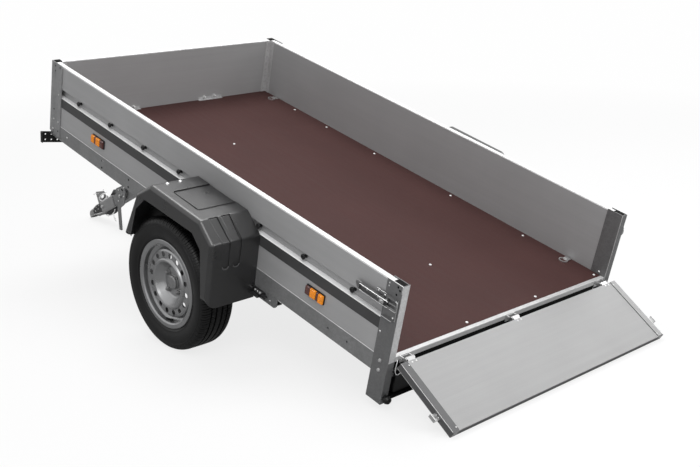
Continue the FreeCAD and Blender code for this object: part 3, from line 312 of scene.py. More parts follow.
moulded("black_paint", (0.009, 0.009, 0.0095), 0.36, strength=0.1, Specular_IOR_Level=0.4)
# Near black for the post caps, the hole discs and the sheet in the sill's gap: painted shade
moulded("painted_shade_black", (0.004, 0.004, 0.004), 0.8, Specular_IOR_Level=0.1)
lens("amber_lens", (0.95, 0.30, 0.008))
lens("amber_dark", (0.10, 0.035, 0.03))
lens("red_lens", (0.30, 0.008, 0.008))
# Near-black lens for the tail lamps in shade: painted shade
lens("painted_shade_lens", (0.012, 0.007, 0.006))
OWN_FINISH = {
    "front_board": "board_across",
    "tailgate_board": "gate_aluminium",
    "tailgate_caps": "cap_aluminium",
    "rear_posts": "post_zinc",
    "front_posts": "front_zinc",
    "tail_latches": "latch_steel",
    "coupling_head": "coupling_zinc",
    "coupling_handle": "coupling_zinc",
    "corner_strips": "strip_zinc",
    "tie_rings": "bright_zinc",
    # The post caps are painted near black as the shade inside an open post top
    "post_caps": "painted_shade_black",
}
for part in record["subparts"]:
    mesh = nodes[part["node"]].data
    mesh.materials.clear()
    mesh.materials.append(MATS[OWN_FINISH.get(part["node"], part["material_slot"])])

# Ways to place an outline's u and v and the length w along each axis
PRISM_ORDER = {
    "x": lambda u, v, w: (w, u, v),
    "y": lambda u, v, w: (u, w, v),
    "z": lambda u, v, w: (u, v, w),
}


class Piece:
    """Mesh of one piece, gathered from forms in a local frame in millimetres."""

    def __init__(self, place):
        self.place = place
        self.points = []
        self.faces = []

    def form(self, points, faces):
        """Adds points and the faces between them, in the frame that the piece has at that moment."""
        start = len(self.points)
        self.points += [self.place(*p) for p in points]
        self.faces += [[start + i for i in face] for face in faces]

    def loft(self, rings, closed=False):
        """Skin over rings of as many points each, capped at its ends or run round to its start."""
        count = len(rings[0])
        total = len(rings)
        points = [p for ring in rings for p in ring]
        faces = []
        for r in range(total if closed else total - 1):
            after = (r + 1) % total
            for i in range(count):
                j = (i + 1) % count
                faces.append((r * count + i, r * count + j, after * count + j, after * count + i))
        if not closed:
            faces += [range(count), range((total - 1) * count, total * count)]
        self.form(points, faces)

    def prism(self, outline, low, high, axis):
        """Outline across an axis, as (x, z) for y, (y, z) for x and (x, y) for z, run from low to high."""
        self.loft([[PRISM_ORDER[axis](u, v, w) for u, v in outline] for w in (low, high)])

    def lathe(self, centre, axis, profile, sides=20):
        """Profile of (along, radius) points turned round an axis through centre."""
        axis = Vector(axis).normalized()
        across = axis.orthogonal().normalized()
        third = axis.cross(across)
        self.loft([[Vector(centre) + axis * along + across * u + third * v
                    for u, v in arc(radius, 0, 360, sides)[:-1]] for along, radius in profile])

    def wire(self, path, radius, sides=8, closed=False):
        """Round wire along a path of points."""
        path = [Vector(p) for p in path]
        count = len(path)
        rings = []
        across = None
        for i, p in enumerate(path):
            before = path[i - 1] if closed or i else p
            after = path[(i + 1) % count] if closed or i < count - 1 else p
            along = (after - before).normalized()
            if across is None:
                across = along.orthogonal().normalized()
            across = (across - along * across.dot(along)).normalized()
            third = along.cross(across)
            rings.append([p + across * u + third * v for u, v in arc(radius, 0, 360, sides)[:-1]])
        self.loft(rings, closed)

    def bolt(self, at, axis, size):
        """Hexagon head of a thread size on its washer, seated on a face."""
        washer = [(-0.2, size), (0.16 * size, size), (0.2 * size, 0.92 * size)]
        head = [(0.15 * size, 0.88 * size), (0.72 * size, 0.88 * size), (0.84 * size, 0.76 * size)]
        self.lathe(at, axis, washer)
        self.lathe(at, axis, head, sides=6)

    def rivet(self, at, axis, radius):
        """Domed rivet head seated on a face."""
        dome = [(0.15, 1), (0.42, 0.8), (0.58, 0.45), (0.62, 0.15)]
        profile = [(-0.2, radius)] + [(along * radius, out * radius) for along, out in dome]
        self.lathe(at, axis, profile, sides=14)

    def make(self, name, slot, finish=None, bevel=0.0):
        """The mesh as an object on its frame's body, with a finish where it isn't its slot's own."""
        body = self.place.body
        mesh = bpy.data.meshes.new(name)
        mesh.from_pydata(self.points, [], self.faces)
        bm = bmesh.new()
        bm.from_mesh(mesh)
        bmesh.ops.recalc_face_normals(bm, faces=bm.faces)
        bm.to_mesh(mesh)
        bm.free()
        mesh.shade_smooth()
        mesh.set_sharp_from_angle(angle=SHARP)
        mesh.materials.append(MATS[finish or slot])
        o = add_object(name, mesh)
        if bevel:
            edge = o.modifiers.new("edge", "BEVEL")
            edge.width = bevel / 1000
            edge.segments = 2
            edge.limit_method = "ANGLE"
        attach(o, body)
        return o


def on_sides(place, *pieces):
    """Right and left in turn, with the pieces set to that side's frame."""
    for side, axes in place.sides():
        for piece in pieces:
            piece.place = axes
        yield side


def box(u0, v0, u1, v1):
    """Outline of a rectangle between two opposite corners."""
    return [(u0, v0), (u1, v0), (u1, v1), (u0, v1)]


def rounded(width, height, radius, middle=(0, 0), steps=4):
    """Outline of a rectangle with round corners."""
    outline = []
    for sx, sy, start in ((1, 1, 0), (-1, 1, 90), (-1, -1, 180), (1, -1, 270)):
        corner = (middle[0] + sx * (width / 2 - radius), middle[1] + sy * (height / 2 - radius))
        outline += arc(radius, start, start + 90, steps, corner)
    return outline


def arc(radius, start, end, steps, middle=(0, 0)):
    """Points of a circle's arc about its middle, in degrees."""
    turns = [math.radians(start + (end - start) * k / steps) for k in range(steps + 1)]
    return [(middle[0] + radius * math.cos(t), middle[1] + radius * math.sin(t)) for t in turns]


# Wheels
TYRE_PITCHES = 72
WIDE = 5.5
SIPE = 3.5
# Columns of one pitch: where in it they stand, depth of the wide cross groove there and of the sipe
PITCH_COLUMNS = ((0.00, 0, 0), (0.08, 0, 0), (0.10, WIDE, 0), (0.20, WIDE, 0), (0.22, 0, 0),
                 (0.55, 0, 0), (0.57, 0, SIPE), (0.62, 0, SIPE), (0.64, 0, 0))
TREAD_SKEW = 0.0009
# Outer half section, bead to middle: x, radius, and where they aren't 0 the shares of groove and sipe
TYRE_SECTION = (
    (63.2, 165.3), (63.2, 178.0), (63.6, 184.6), (66.8, 190.5), (69.6, 193.0), (70.2, 196.5),
    (71.0, 200.0), (74.2, 208.5), (76.4, 219.0), (77.4, 229.0), (77.2, 238.0), (76.5, 242.8),
    (77.3, 243.6), (77.2, 245.8), (76.1, 246.6), (75.2, 251.0), (74.3, 254.0), (72.9, 257.3, 0.5, 0.3),
    (70.2, 261.8, 1, 0.8), (65.5, 266.6, 1, 1), (60.0, 269.8, 1, 1), (54.0, 271.9, 1, 1),
    (48.0, 272.9, 1, 1), (41.0, 273.2, 1, 1), (39.8, 266.8), (35.2, 266.8), (34.0, 273.3, 0.9, 0.8),
    (27.6, 273.4, 0.9, 0.8), (27.0, 273.4, 0, 0.8), (17.5, 273.4, 0, 0.8), (16.3, 267.0), (10.7, 267.0),
    (9.5, 273.5, 0, 0.5), (6.5, 273.5, 0, 0.5), (6.0, 273.5), (0.0, 273.5))
TYRE_INSIDE = ((-54.2, 165.3), (-65.5, 215.3), (-64.5, 239.5), (-49.5, 258.5),
               (49.5, 258.5), (64.5, 239.5), (65.5, 215.3), (54.2, 165.3))
NUT_AND_STUD = ((11.8, 8.6), (12.8, 8.2), (13.6, 7.0), (13.6, 5.6), (16.3, 5.6), (17.3, 4.4))
NUT_SEAT = ((1.8, 12.5), (2.9, 12.5), (3.7, 11.0))
CAP_RING = ((0.2, 31.5), (2.2, 31.5), (3.4, 29.6), (3.4, 29.0))
# Bright rings of the rim: x, radius, thickness
RIM_RINGS = ((64.6, 181.6, 1.5), (65.2, 166.5, 1.3), (49.0, 161.3, 1.0))
VALVE_FOOT = (47.0, 0, -156.5)
VALVE_LEAN = (0.86, 0, 0.5)
VALVE = ((-2.0, 7.0), (1.0, 7.0), (4.0, 5.4), (22.0, 4.2), (22.3, 4.9), (30.0, 4.9), (31.5, 3.8))


def tyre(side):
    """Tyre with grooves round it, cross grooves in its shoulders and sipes between them."""
    section = list(TYRE_SECTION) + [(-x, *rest) for x, *rest in TYRE_SECTION[-2::-1]] + list(TYRE_INSIDE)
    rings = []
    for x, r, *shares in section:
        wide, sipe = shares or (0, 0)
        ring = []
        for pitch in range(TYRE_PITCHES):
            for column, wide_depth, sipe_depth in PITCH_COLUMNS:
                turn = 2 * math.pi * (pitch + column) / TYRE_PITCHES + TREAD_SKEW * x
                deep = r - wide_depth * wide - sipe_depth * sipe
                ring.append((x, deep * math.cos(turn), deep * math.sin(turn)))
        rings.append(ring)
    piece = Piece(WHEELS[side])
    piece.loft(rings, closed=True)
    o = piece.make("tyre_tread_" + side, "tyre_rubber")
    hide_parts("tyre_" + side)


def wheel_fittings(side):
    """Nut chamfers with stud ends, the grease cap's crimped ring, the rim's bright rings and the valve."""
    metal, lip, valve = (Piece(WHEELS[side]) for _ in range(3))
    for y, z in arc(STUD_CIRCLE, 45, 315, 3):
        metal.lathe((DISC_FACE, y, z), OUT, NUT_AND_STUD)
        metal.lathe((DISC_FACE, y, z), OUT, NUT_SEAT, 24)
    metal.lathe((DISC_FACE, 0, 0), OUT, CAP_RING, 32)
    metal.make("wheel_studs_" + side, "hub_steel")
    for x, radius, thick in RIM_RINGS:
        lip.wire([(x, y, z) for y, z in arc(radius, 0, 355, 71)], thick, 6, closed=True)
    lip.make("rim_rings_" + side, "wheel_silver")
    valve.lathe(VALVE_FOOT, VALVE_LEAN, VALVE)
    valve.make("wheel_valve_" + side, "black_rubber")


# Boards
RAIL_LIFT = 0.3
# Section of the ledge strip over the solid's slope, painted near white as a highlight where it faces up: distance
# in from the board's outer face, and level
LEDGE_SECTION = ((17.8, 132.6), (17.8, 137.8), (1.2, 134.2), (-0.6, 133.0), (-0.6, 131.8),
                 (0.2, 131.6), (0.4, 124.6))
TAB_SCREW = ((0, 8), (5, 8), (5.2, 6), (14, 5), (16, 3))
HOOK_HEAD = ((0.0, 8.0), (1.5, 8.0), (3.0, 5.5), (12.0, 5.0), (12.3, 9.6), (13.4, 11.0), (16.6, 11.2),
             (18.6, 10.2), (19.7, 8.0), (20.0, 5.6), (19.0, 4.0), (17.0, 3.2), (16.8, 1.0))
MARKER_LENGTH = 98.0
# Bands of a marker lamp from one end: length, height out of the board and whether it is bright
MARKER_BANDS = ((26.0, 13.6, True), (13.0, 12.2, False), (32.0, 13.6, True), (27.0, 12.2, False))
MARKER_RIBS = 5
FLOOR_EDGE = 600
EDGE_RIVETS = (2023, 1764, 1399, 874, 431, 40)
MIDDLE_RIVETS = ((0, 1760), (0, 430), (-205, 41), (205, 41))
# Foot angles of the front board, in x: bolt and tab
FOOT_ANGLES = ((215, 193), (280, 302))


def board_trim():
    """Rails and ledges of the boards painted near white as highlights, their bead lines, and the bare dark stripes
    over their recesses.
    """
    rails, ledge, film, bead = (Piece(bed) for _ in range(4))
    lift, top = RAIL_LIFT, BOARD_TOP
    length = (BOARD_START, BOARD_END, "y")
    over = [(INNER - lift, top - 5), (INNER - lift, top - 3), (INNER + 0.8, top - 0.8),
            (INNER + 3, top + lift), (OUTER - 3, top + lift), (OUTER - 0.8, top - 0.8),
            (OUTER + lift, top - 3), (OUTER + lift, top - 5)]
    under = [(INNER + 0.1, top - 5), (INNER + 0.1, top - 3), (INNER + 3, top - 0.1), (OUTER - 3, top - 0.1),
             (OUTER - 0.1, top - 3), (OUTER - 0.1, top - 5)]
    for _ in on_sides(bed, rails, ledge, film, bead):
        rails.prism(over + under[::-1], BOARD_START - 25, FRONT_INNER - 0.5, "y")
        ledge.prism([(OUTER - out, z) for out, z in LEDGE_SECTION], *length)
        film.prism([(OUTER - 1.2, STRIPE_LOW), (OUTER - 0.3, STRIPE_LOW), (OUTER - 0.3, FILM_LOW),
                    (OUTER + 0.3, FILM_LOW + 0.4), (OUTER + 0.3, FILM_HIGH - 0.4), (OUTER - 0.3, FILM_HIGH),
                    (OUTER - 0.3, STRIPE_HIGH), (OUTER - 1.2, STRIPE_HIGH)], *length)
        bead.prism([(OUTER - 0.1, BEAM_TOP - 0.3), (OUTER + 0.2, BEAM_TOP + 1.3),
                    (OUTER + 1.2, BEAM_TOP + 1.7), (BEAM_FACE + 0.3, BEAM_TOP + 0.6),
                    (BEAM_FACE + 0.3, BEAM_TOP - 0.8), (BEAM_FACE - 0.1, BEAM_TOP - 0.3)], *length)
    rails.place = ledge.place = bed
    y0, y1 = FRONT_INNER, BED_LENGTH
    ledge.prism([(y1 - out, z) for out, z in LEDGE_SECTION], -INNER + 9, INNER - 9, "x")
    rails.prism([(y0 - lift, top - 4), (y0 + 0.8, top - 0.8), (y0 + 3, top + lift), (y1 - 3, top + lift),
                 (y1 + lift, top - 3), (y1 - 0.1, top - 3.5), (y1 - 3, top - 0.1), (y0 + 3, top - 0.1),
                 (y0 + 0.1, top - 4)], -INNER + 7, INNER - 7, "x")
    # The rails and ledges are painted near white as highlights where they face up
    rails.make("board_rails", "board_aluminium", "painted_highlight_white")
    ledge.make("board_ledges", "board_aluminium", "painted_ledge_highlight")
    film.make("side_stripes", "black_paint", "stripe_film")
    bead.make("beam_beads", "galvanised_steel", "edge_zinc")


def tarp_hooks():
    """Mushroom heads with rounded rims and a dimple."""
    piece = Piece(bed)
    pitch = (BED_LENGTH - 2 * HOOK_INSET) / (HOOK_COUNT - 1)
    for _ in on_sides(bed, piece):
        for i in range(HOOK_COUNT):
            piece.lathe((GROOVE_SEAT, HOOK_INSET + i * pitch, HOOK_LEVEL), OUT, HOOK_HEAD, 24)
    o = piece.make("tarp_buttons", "black_plastic", "black_paint")
    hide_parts("tarp_hooks")


def side_markers():
    """Amber marker lamps: dark base, stepped lens and darker reflector bands."""
    base, bright, dark = (Piece(bed) for _ in range(3))
    for _ in on_sides(bed, base, bright, dark):
        for y, way in zip(MARKERS, (-1, 1)):
            base.prism(rounded(102, 42, 5, (y, MARKER_LEVEL)), OUTER + 0.1, OUTER + 3.5, "x")
            base.prism(rounded(99, 38, 4, (y, MARKER_LEVEL)), OUTER + 3.4, OUTER + 5.5, "x")
            start = y + way * MARKER_LENGTH / 2
            for length, top, lit in MARKER_BANDS:
                end = start - way * length
                middle = (start + end) / 2
                target = bright if lit else dark
                rings = []
                for out, shrink in ((5.3, 0.0), (top - 3.0, 0.6), (top - 0.8, 1.8), (top, 3.6)):
                    ring = rounded(length - 0.8 - shrink, 36 - 1.6 * shrink, 2.0, (middle, MARKER_LEVEL), 2)
                    rings.append([(OUTER + out, u, v) for u, v in ring])
                target.loft(rings)
                for k in range(MARKER_RIBS if lit else 0):
                    level = MARKER_LEVEL - 12 + 24 * k / (MARKER_RIBS - 1)
                    target.prism(rounded(length - 7, 1.6, 0.7, (middle, level), 1),
                                 OUTER + top - 0.4, OUTER + top + 0.35, "x")
                start = end
    for piece in (base.make("side_marker_bases", "black_plastic", "black_paint"),
                  bright.make("side_marker_lenses", "amber_lens"),
                  dark.make("side_marker_reflectors", "amber_lens", "amber_dark")):
        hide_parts("side_markers")


def floor_rivets():
    """Rivets of the floor, and the bolts, screws and tabs of the front board's foot angles."""
    piece = Piece(bed)
    edge = [(x, y) for y in EDGE_RIVETS for x in (-FLOOR_EDGE, FLOOR_EDGE)]
    for x, y in (*edge, *MIDDLE_RIVETS):
        piece.rivet((x, y, 0), UP, 6)
    for x, tab in FOOT_ANGLES:
        for way in (-1, 1):
            piece.bolt((way * x, FRONT_INNER - 8, 2), UP, 6)
            piece.lathe((way * x, FRONT_INNER + 0.2, 15), -AHEAD, TAB_SCREW, 12)
            piece.prism(rounded(16, 5, 1, (way * tab, 8)), FRONT_INNER - 3.5, FRONT_INNER + 0.2, "y")
    piece.make("floor_rivets", "bright_zinc", "edge_zinc")


# Posts and beams: fasteners as y, z and, where they differ, the radius
POST_RIVETS = ((64, 84, 4.5), (62, 276, 3), (62, 265, 3), (2311, 11, 4), (2271, 8, 4), (2315, -40, 5),
               (2275, 143, 3.5))
POST_BOLTS = ((38, -21), (36, -59))
FRONT_FACE_RIVETS = (262, 60)
BEAM_RIVET = (2188, -40)
# Open holes, with dark discs in them as painted shade: the face that they are in, their radius and places
HOLES = (
    (POST_FACE, 4.2, ((21, 279), (11, 270), (23, 249))),
    (POST_FACE, 3.8, ((2313, 273), (2313, 249), (2271, 276), (2313, 60), (2271, -38))),
    (BEAM_FACE, 4.8, ((1876, -28), (1876, -62), (1654, -28), (1654, -62))))
BRACKET_BOLTS = ((600, -98), (628, -93.8))
POST_TOP = BOARD_TOP + 3
FRONT_PLATE = (2254.0, -66.0, 2312.0, POST_TOP)
SILL_HALF = 621.0
# Sections of the sill's plate, painted pale as the light on its ledge and upper rear edge, and of the black sheet
# below it as painted shade of the gap, as y and z
SILL_PLATE = ((2.8, -19.0), (2.8, 0.2), (4.2, 1.5), (6.0, 0.8), (19.6, 0.8), (20.8, 0.4),
              (20.8, 0.1), (6.0, 0.1), (4.4, -0.8), (3.1, -1.5), (3.1, -19.0))
SILL_GAP_SHADE = ((2.9, -46.0), (2.5, -45.0), (2.5, -19.6), (3.1, -19.0), (3.1, -46.0))
# Chassis: bolts of the beams, U-bolts of the axle, bolts of the hinge plates and the spine
BEAM_BOLTS = ((716, -99, 8), (1020, -99, 8), (1120, -99, 8), (1290, -99, 8), (1380, -99, 8), (640, -104, 5))
U_BOLTS = (616, 642)
# Half the width of an axle U-bolt and the radius of its corners
U_HALF = 33
U_BEND = 12
PLATE_BOLTS = ((PIVOT[0] - 210, -72), (PIVOT[0] - 90, -76), (PIVOT[0] + 48, -72))
SPINE_BOLTS = (560, 1339, 1764)


def post_fasteners():
    """Rivets and bolts of posts and beams, and dark discs in their open holes as painted shade."""
    piece, dark = Piece(bed), Piece(bed)
    for _ in on_sides(bed, piece, dark):
        for y, z, radius in POST_RIVETS:
            piece.rivet((POST_FACE, y, z), OUT, radius)
        for y, z in POST_BOLTS:
            piece.bolt((POST_FACE, y, z), OUT, 7)
        piece.rivet((INNER - 3, 34, 12), -OUT, 5)
        for z in FRONT_FACE_RIVETS:
            piece.rivet((POST_FACE - 17, 2346, z), AHEAD, 4)
        piece.rivet((BEAM_FACE, *BEAM_RIVET), OUT, 5)
        for x, z in BRACKET_BOLTS:
            piece.bolt((x, 2344, z), AHEAD, 6)
        for face, radius, holes in HOLES:
            for y, z in holes:
                dark.lathe((face, y, z), -OUT, ((-0.25, radius), (0.2, radius)), 16)
    piece.make("post_fasteners", "bright_zinc")
    dark.make("hole_shades", "black_paint", "painted_shade_black")


def front_post_plates():
    """Wide outer legs of the front posts, lapped over the ends of the side boards and beams."""
    piece = Piece(bed)
    y0, low, y1, high = FRONT_PLATE
    outline = rounded(y1 - y0, high - low, 2.5, ((y0 + y1) / 2, (high + low) / 2), 2)
    for _ in on_sides(bed, piece):
        piece.prism(outline, BEAM_FACE + 0.2, POST_FACE, "x")
        piece.prism(box(OUTER - 0.3, y0 + 0.4, BEAM_FACE + 0.4, y0 + 3), BEAM_TOP + 2, BOARD_TOP - 6, "z")
    piece.make("front_post_plates", "galvanised_steel", "front_zinc")


def sill_plate():
    """Plate on the sill's ledge and upper rear edge painted pale as light, with a small rib at its rear edge, and
    a black sheet below it as painted shade of the gap.
    """
    plate, gap_shade = Piece(bed), Piece(bed)
    plate.prism(SILL_PLATE, -SILL_HALF, SILL_HALF, "x")
    plate.make("sill_plate", "galvanised_steel", "edge_zinc")
    gap_shade.prism(SILL_GAP_SHADE, -SILL_HALF, SILL_HALF, "x")
    gap_shade.make("sill_gap_shade", "black_rubber", "painted_shade_black")


def post_lips():
    """Edges of the rear posts painted pale as highlights, and their rear faces, the left one painted paler as
    light falling on it.
    """
    piece = Piece(bed)
    for _ in on_sides(bed, piece):
        piece.prism(box(POST_FACE - 1.1, -0.35, POST_FACE + 0.35, 1.1), 262, POST_TOP + 0.2, "z")
        piece.prism(box(INNER - 3.3, -0.35, INNER - 2.0, 1.1), -11, POST_TOP + 0.2, "z")
        piece.prism(box(POST_FACE - 3.2, POST_TOP - 0.8, POST_FACE + 0.3, POST_TOP + 0.3), 0.5, 73.5, "y")
    # These pale strips are painted highlights along the posts' edges
    piece.make("post_lips", "galvanised_steel", "edge_zinc")
    # The left rear face is painted paler as light falling on it; the right one keeps the rear posts' tone
    for (side, place), finish in zip(bed.sides(), ("post_zinc", "strip_zinc")):
        face = Piece(place)
        face.prism(box(INNER - 1.6, -0.2, POST_FACE - 2.4, 0.1), -16, POST_TOP - 1, "z")
        face.make("post_rear_face_" + side, "galvanised_steel", finish)


def chassis_bolts():
    """Bolts of the axle rails, cross members, hinge plates and spine, and the axle's U-bolts."""
    piece = Piece(bed)
    y0, z0 = AXLE[0], AXLE[1] - 20
    bend = U_HALF - U_BEND
    for _ in on_sides(bed, piece):
        for y, z, size in BEAM_BOLTS:
            piece.bolt((BEAM_FACE, y, z), OUT, size)
        for x in U_BOLTS:
            path = [(y0 - U_HALF, RAIL_FOOT + 14), (y0 - U_HALF, z0)]
            path += arc(U_BEND, 180, 270, 5, (y0 - bend, z0)) + arc(U_BEND, 270, 360, 5, (y0 + bend, z0))
            path.append((y0 + U_HALF, RAIL_FOOT + 14))
            piece.wire([(x, y, z) for y, z in path], 5)
            for y in (y0 - U_HALF, y0 + U_HALF):
                piece.lathe((x, y, RAIL_FOOT + 4), UP, ((0, 9), (6.5, 9), (7.5, 7.6)), 6)
        for y, z in PLATE_BOLTS:
            piece.bolt((36, y, z), OUT, 9)
        for y in SPINE_BOLTS:
            piece.bolt((30, y, -92), OUT, 8)
    piece.make("chassis_bolts", "bright_zinc")


# Mudguards
GUARD_INNER = BEAM_FACE + 0.3
GUARD_EDGE = GUARD_INNER + 226.7
CROWN_LEVEL = 199.8
CROWN_BOLTS = (747, 808)
# Parts of a stay: two corners, as x out of the beam's face and z, and then its span in y
STAY_PARTS = (
    (0.2, -112, 3.2, -84, 668, 742), (3.0, -112, 24, -108.5, 690, 738), (3.0, -96, 18, -92, 652, 676))
STAY_BOLTS = ((700, 7), (728, 6))
# Sunk panel of the crown: its rear and front, its outer side and its corner radius
CROWN_PANEL = (910.0, 1084.0, GUARD_INNER + 176, 12.0)
# Channels down the rear: inner and outer side at the foot, and the same at the crown's end
GUARD_CHANNELS = ((136, 170, 142, 184), (86, 120, 85, 128))
CROWN_END = (836.0, 197.0)
GUARD_FOLD = (752.0, 136.0)
CHANNEL_REAR = 742.5
CHANNEL_FOOT = 32.0
CHANNEL_TURN = 8
# Wheel arch, front to rear, as shares of the tyre's radius ahead of the hub and above it
GUARD_ARCH = ((0.830, 0.47), (0.754, 0.910), (0.553, 1.147), (-0.635, 1.169), (-0.855, 1.001),
              (-0.972, 0.30))
# Top of the rear flap in the same shares, and how far the flap leans back for each mm down
FLAP_TOP = (-1.092, 1.169)
FLAP_LEAN = 0.0294


def guard_stays():
    """Dark stay with its clip from each mudguard's rear foot to the axle rail, and bolts on the crown."""
    stay, bolts = Piece(bed), Piece(bed)
    for _ in on_sides(bed, stay, bolts):
        for x0, z0, x1, z1, y0, y1 in STAY_PARTS:
            stay.prism(box(BEAM_FACE + x0, z0, BEAM_FACE + x1, z1), y0, y1, "y")
        for y, size in STAY_BOLTS:
            bolts.bolt((BEAM_FACE + 3.2, y, -98), OUT, size)
        for x in CROWN_BOLTS:
            bolts.rivet((x, 1150, CROWN_LEVEL - 0.3), UP, 8)
    stay.make("guard_stays", "black_paint", "dark_zinc", bevel=0.6)
    bolts.make("guard_bolts", "bright_zinc")


def guard_beads():
    """Soft edges of the mudguards' sunk panels and channels, and painted highlights along the arches' outer edges
    and the channels' feet.
    """
    piece, rim = Piece(bed), Piece(bed)
    hub = bed.matrix.inverted() @ places["wheel_right_spin"] * 1000
    arch = [(hub.y + ahead * TYRE_RADIUS, hub.z + up * TYRE_RADIUS) for ahead, up in GUARD_ARCH]
    flap_y = hub.y + FLAP_TOP[0] * TYRE_RADIUS
    flap_z = hub.z + FLAP_TOP[1] * TYRE_RADIUS
    rear, front, out, turn = CROWN_PANEL
    for _ in on_sides(bed, piece, rim):
        path = [(GUARD_INNER + 4, rear), (out - turn, rear)]
        path += arc(turn, -90, 0, 4, (out - turn, rear + turn))
        path += arc(turn, 0, 90, 4, (out - turn, front - turn))
        path.append((GUARD_INNER + 4, front))
        piece.wire([(x, y, CROWN_LEVEL) for x, y in path], 1.6)
        path = [(GUARD_EDGE, *arch[0])]
        for (y, z), before, after in zip(arch[1:-1], arch, arch[2:]):
            for share, near in ((0.09, before), (0.025, before), (0.025, after), (0.09, after)):
                path.append((GUARD_EDGE, y + share * (near[0] - y), z + share * (near[1] - z)))
        path.append((GUARD_EDGE, *arch[-1]))
        rim.wire(path, 1.2)
        for foot_in, foot_out, top_in, top_out in GUARD_CHANNELS:
            low, high = GUARD_INNER + foot_in, GUARD_INNER + foot_out
            turns = arc(CHANNEL_TURN, 180, 270, 4, (low + CHANNEL_TURN, CHANNEL_FOOT))
            turns += arc(CHANNEL_TURN, 270, 360, 4, (high - CHANNEL_TURN, CHANNEL_FOOT))
            path = [(GUARD_INNER + top_in, *CROWN_END), (low + 4, *GUARD_FOLD)]
            path += [(x, CHANNEL_REAR, z) for x, z in [(low, CHANNEL_FOOT)] + turns]
            path += [(high + 4, *GUARD_FOLD), (GUARD_INNER + top_out, *CROWN_END)]
            piece.wire(path, 1.6)
            end = arc((high - low) / 2 - 3, 190, 350, 8, ((low + high) / 2, CHANNEL_FOOT + 2))
            rim.wire([(x, flap_y - FLAP_LEAN * (flap_z - z) + 0.4, z) for x, z in end], 1.7)
    piece.make("guard_beads", "black_plastic")
    # The paler wires along the arch's outer edge and at the channels' feet are painted highlights
    rim.make("guard_edge_highlights", "black_plastic", "edge_plastic")


# Rear. Lamps: middle and size of the housing, then its steps and those of a lens as y and shrink
LAMP_MIDDLE = (LAMP_OUTER - 100, LAMP_LEVEL)
LAMP_SIZE = (200, 82)
LAMP_STEPS = ((LAMP_SEAT - 0.2, 0.0), (20.0, 0.0), (17.0, 1.0), (15.6, 3.0))
LENS_STEPS = ((16.0, 0.0), (10.0, 0.6), (8.2, 2.0), (7.4, 5.0))
LENS_RIBS = 7
REFLECTOR = ((0, 20), (6, 20), (8, 18), (8.6, 15))
PLATE_FACE = LAMP_SEAT - 4
PLATE_LAMPS = 150
# Latches: the lever, its rivets, the wire bail and the spring
LATCH_MIDDLE = POST_FACE + 9
LATCH_PIVOT = 52.0
LATCH_LEVEL = 205.5
PIVOT_PIN = ((0, 5), (2, 5), (2.2, 3.6), (29.8, 3.6), (30, 5), (32, 5))
LEVER_RIVETS = (96, 150)
LATCH_RIVETS = ((102, 227, 3.5), (18, 226, 4), (18, 160, 4))
BAIL_HIGH = 229.5
BAIL_LOW = 190.0
BAIL_REAR = 3.6
SPRING_TURNS = 5
SPRING_STEPS = 12
SPRING_RADIUS = 6.2
# Painted highlights along the latch's edges: distance out of the post's face, points as y and z, and radius
LATCH_EDGE_HIGHLIGHTS = (
    (17.2, ((39, 194.4), (176, 194.4)), 1.1),
    (17.2, ((39, 216.6), (180, 216.6)), 1.1),
    (4.6, ((178, 194.6), (191, 194.6), (205.4, 211), (203, 216.4), (182, 216.4)), 1.1),
    (14.2, ((12.5, 153.2), (59.5, 153.2)), 1.2),
    (2.2, ((6.4, 233), (6.4, 152.4), (12, 152.2)), 1.0),
    (2.2, ((66, 232.8), (111, 232.8), (111, 221.2)), 1.0))
SILL_CLIP = (
    (607, 3.5, -14), (609, -1.5, -20), (613, -2.5, -40), (611, -2.5, -61), (604, -2.5, -73),
    (593, -2.5, -78), (581, -2.5, -73), (570, -2.5, -63), (560, -2.5, -50), (555, -1.5, -38),
    (554, 3.5, -33))
# Tailgate: levels and spans of the caps' rivets, seam and edges
CAP_RIVETS = (30, 297)
STRIKER_RIVETS = (226, 238)
CAP_SPAN = (13.5, 309)
FREE_EDGE = ((11.6, 311.0), (12.7, 311.4), (12.5, 312.8), (11.0, 313.3), (-11.0, 313.3), (-11.0, 312.8))


def tail_lamps():
    """Combination lamps: dark housing, amber and red chambers with ribs and a round reflector, their lenses
    painted near black as shade.
    """
    shell, red, amber = (Piece(bed) for _ in range(3))
    width, height = LAMP_SIZE
    for _ in on_sides(bed, shell, red, amber):
        shell.loft([[(x, y, z) for x, z in rounded(width - shrink, height - shrink, 10, LAMP_MIDDLE)]
                    for y, shrink in LAMP_STEPS])
        for target, low, high in ((amber, 82.0, 108.0), (red, 110.0, 150.0)):
            x = LAMP_OUTER - (low + high) / 2
            wide = high - low
            target.loft([[(u, y, v) for u, v in rounded(wide - shrink, 70 - shrink, 7, (x, LAMP_LEVEL), 3)]
                         for y, shrink in LENS_STEPS])
            for k in range(LENS_RIBS):
                target.prism(rounded(wide - 12, 1.8, 0.8, (x, LAMP_LEVEL - 27 + 9 * k), 1), 7.1, 7.8, "y")
        red.lathe((LAMP_OUTER - 174, 16, LAMP_LEVEL), -AHEAD, REFLECTOR, 32)
    for piece in (shell.make("tail_lamp_housings", "black_plastic", "black_paint"),
                  red.make("tail_lamp_red", "red_lens", "painted_shade_lens"),
                  amber.make("tail_lamp_amber", "amber_lens", "painted_shade_lens")):
        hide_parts("rear_lamps")


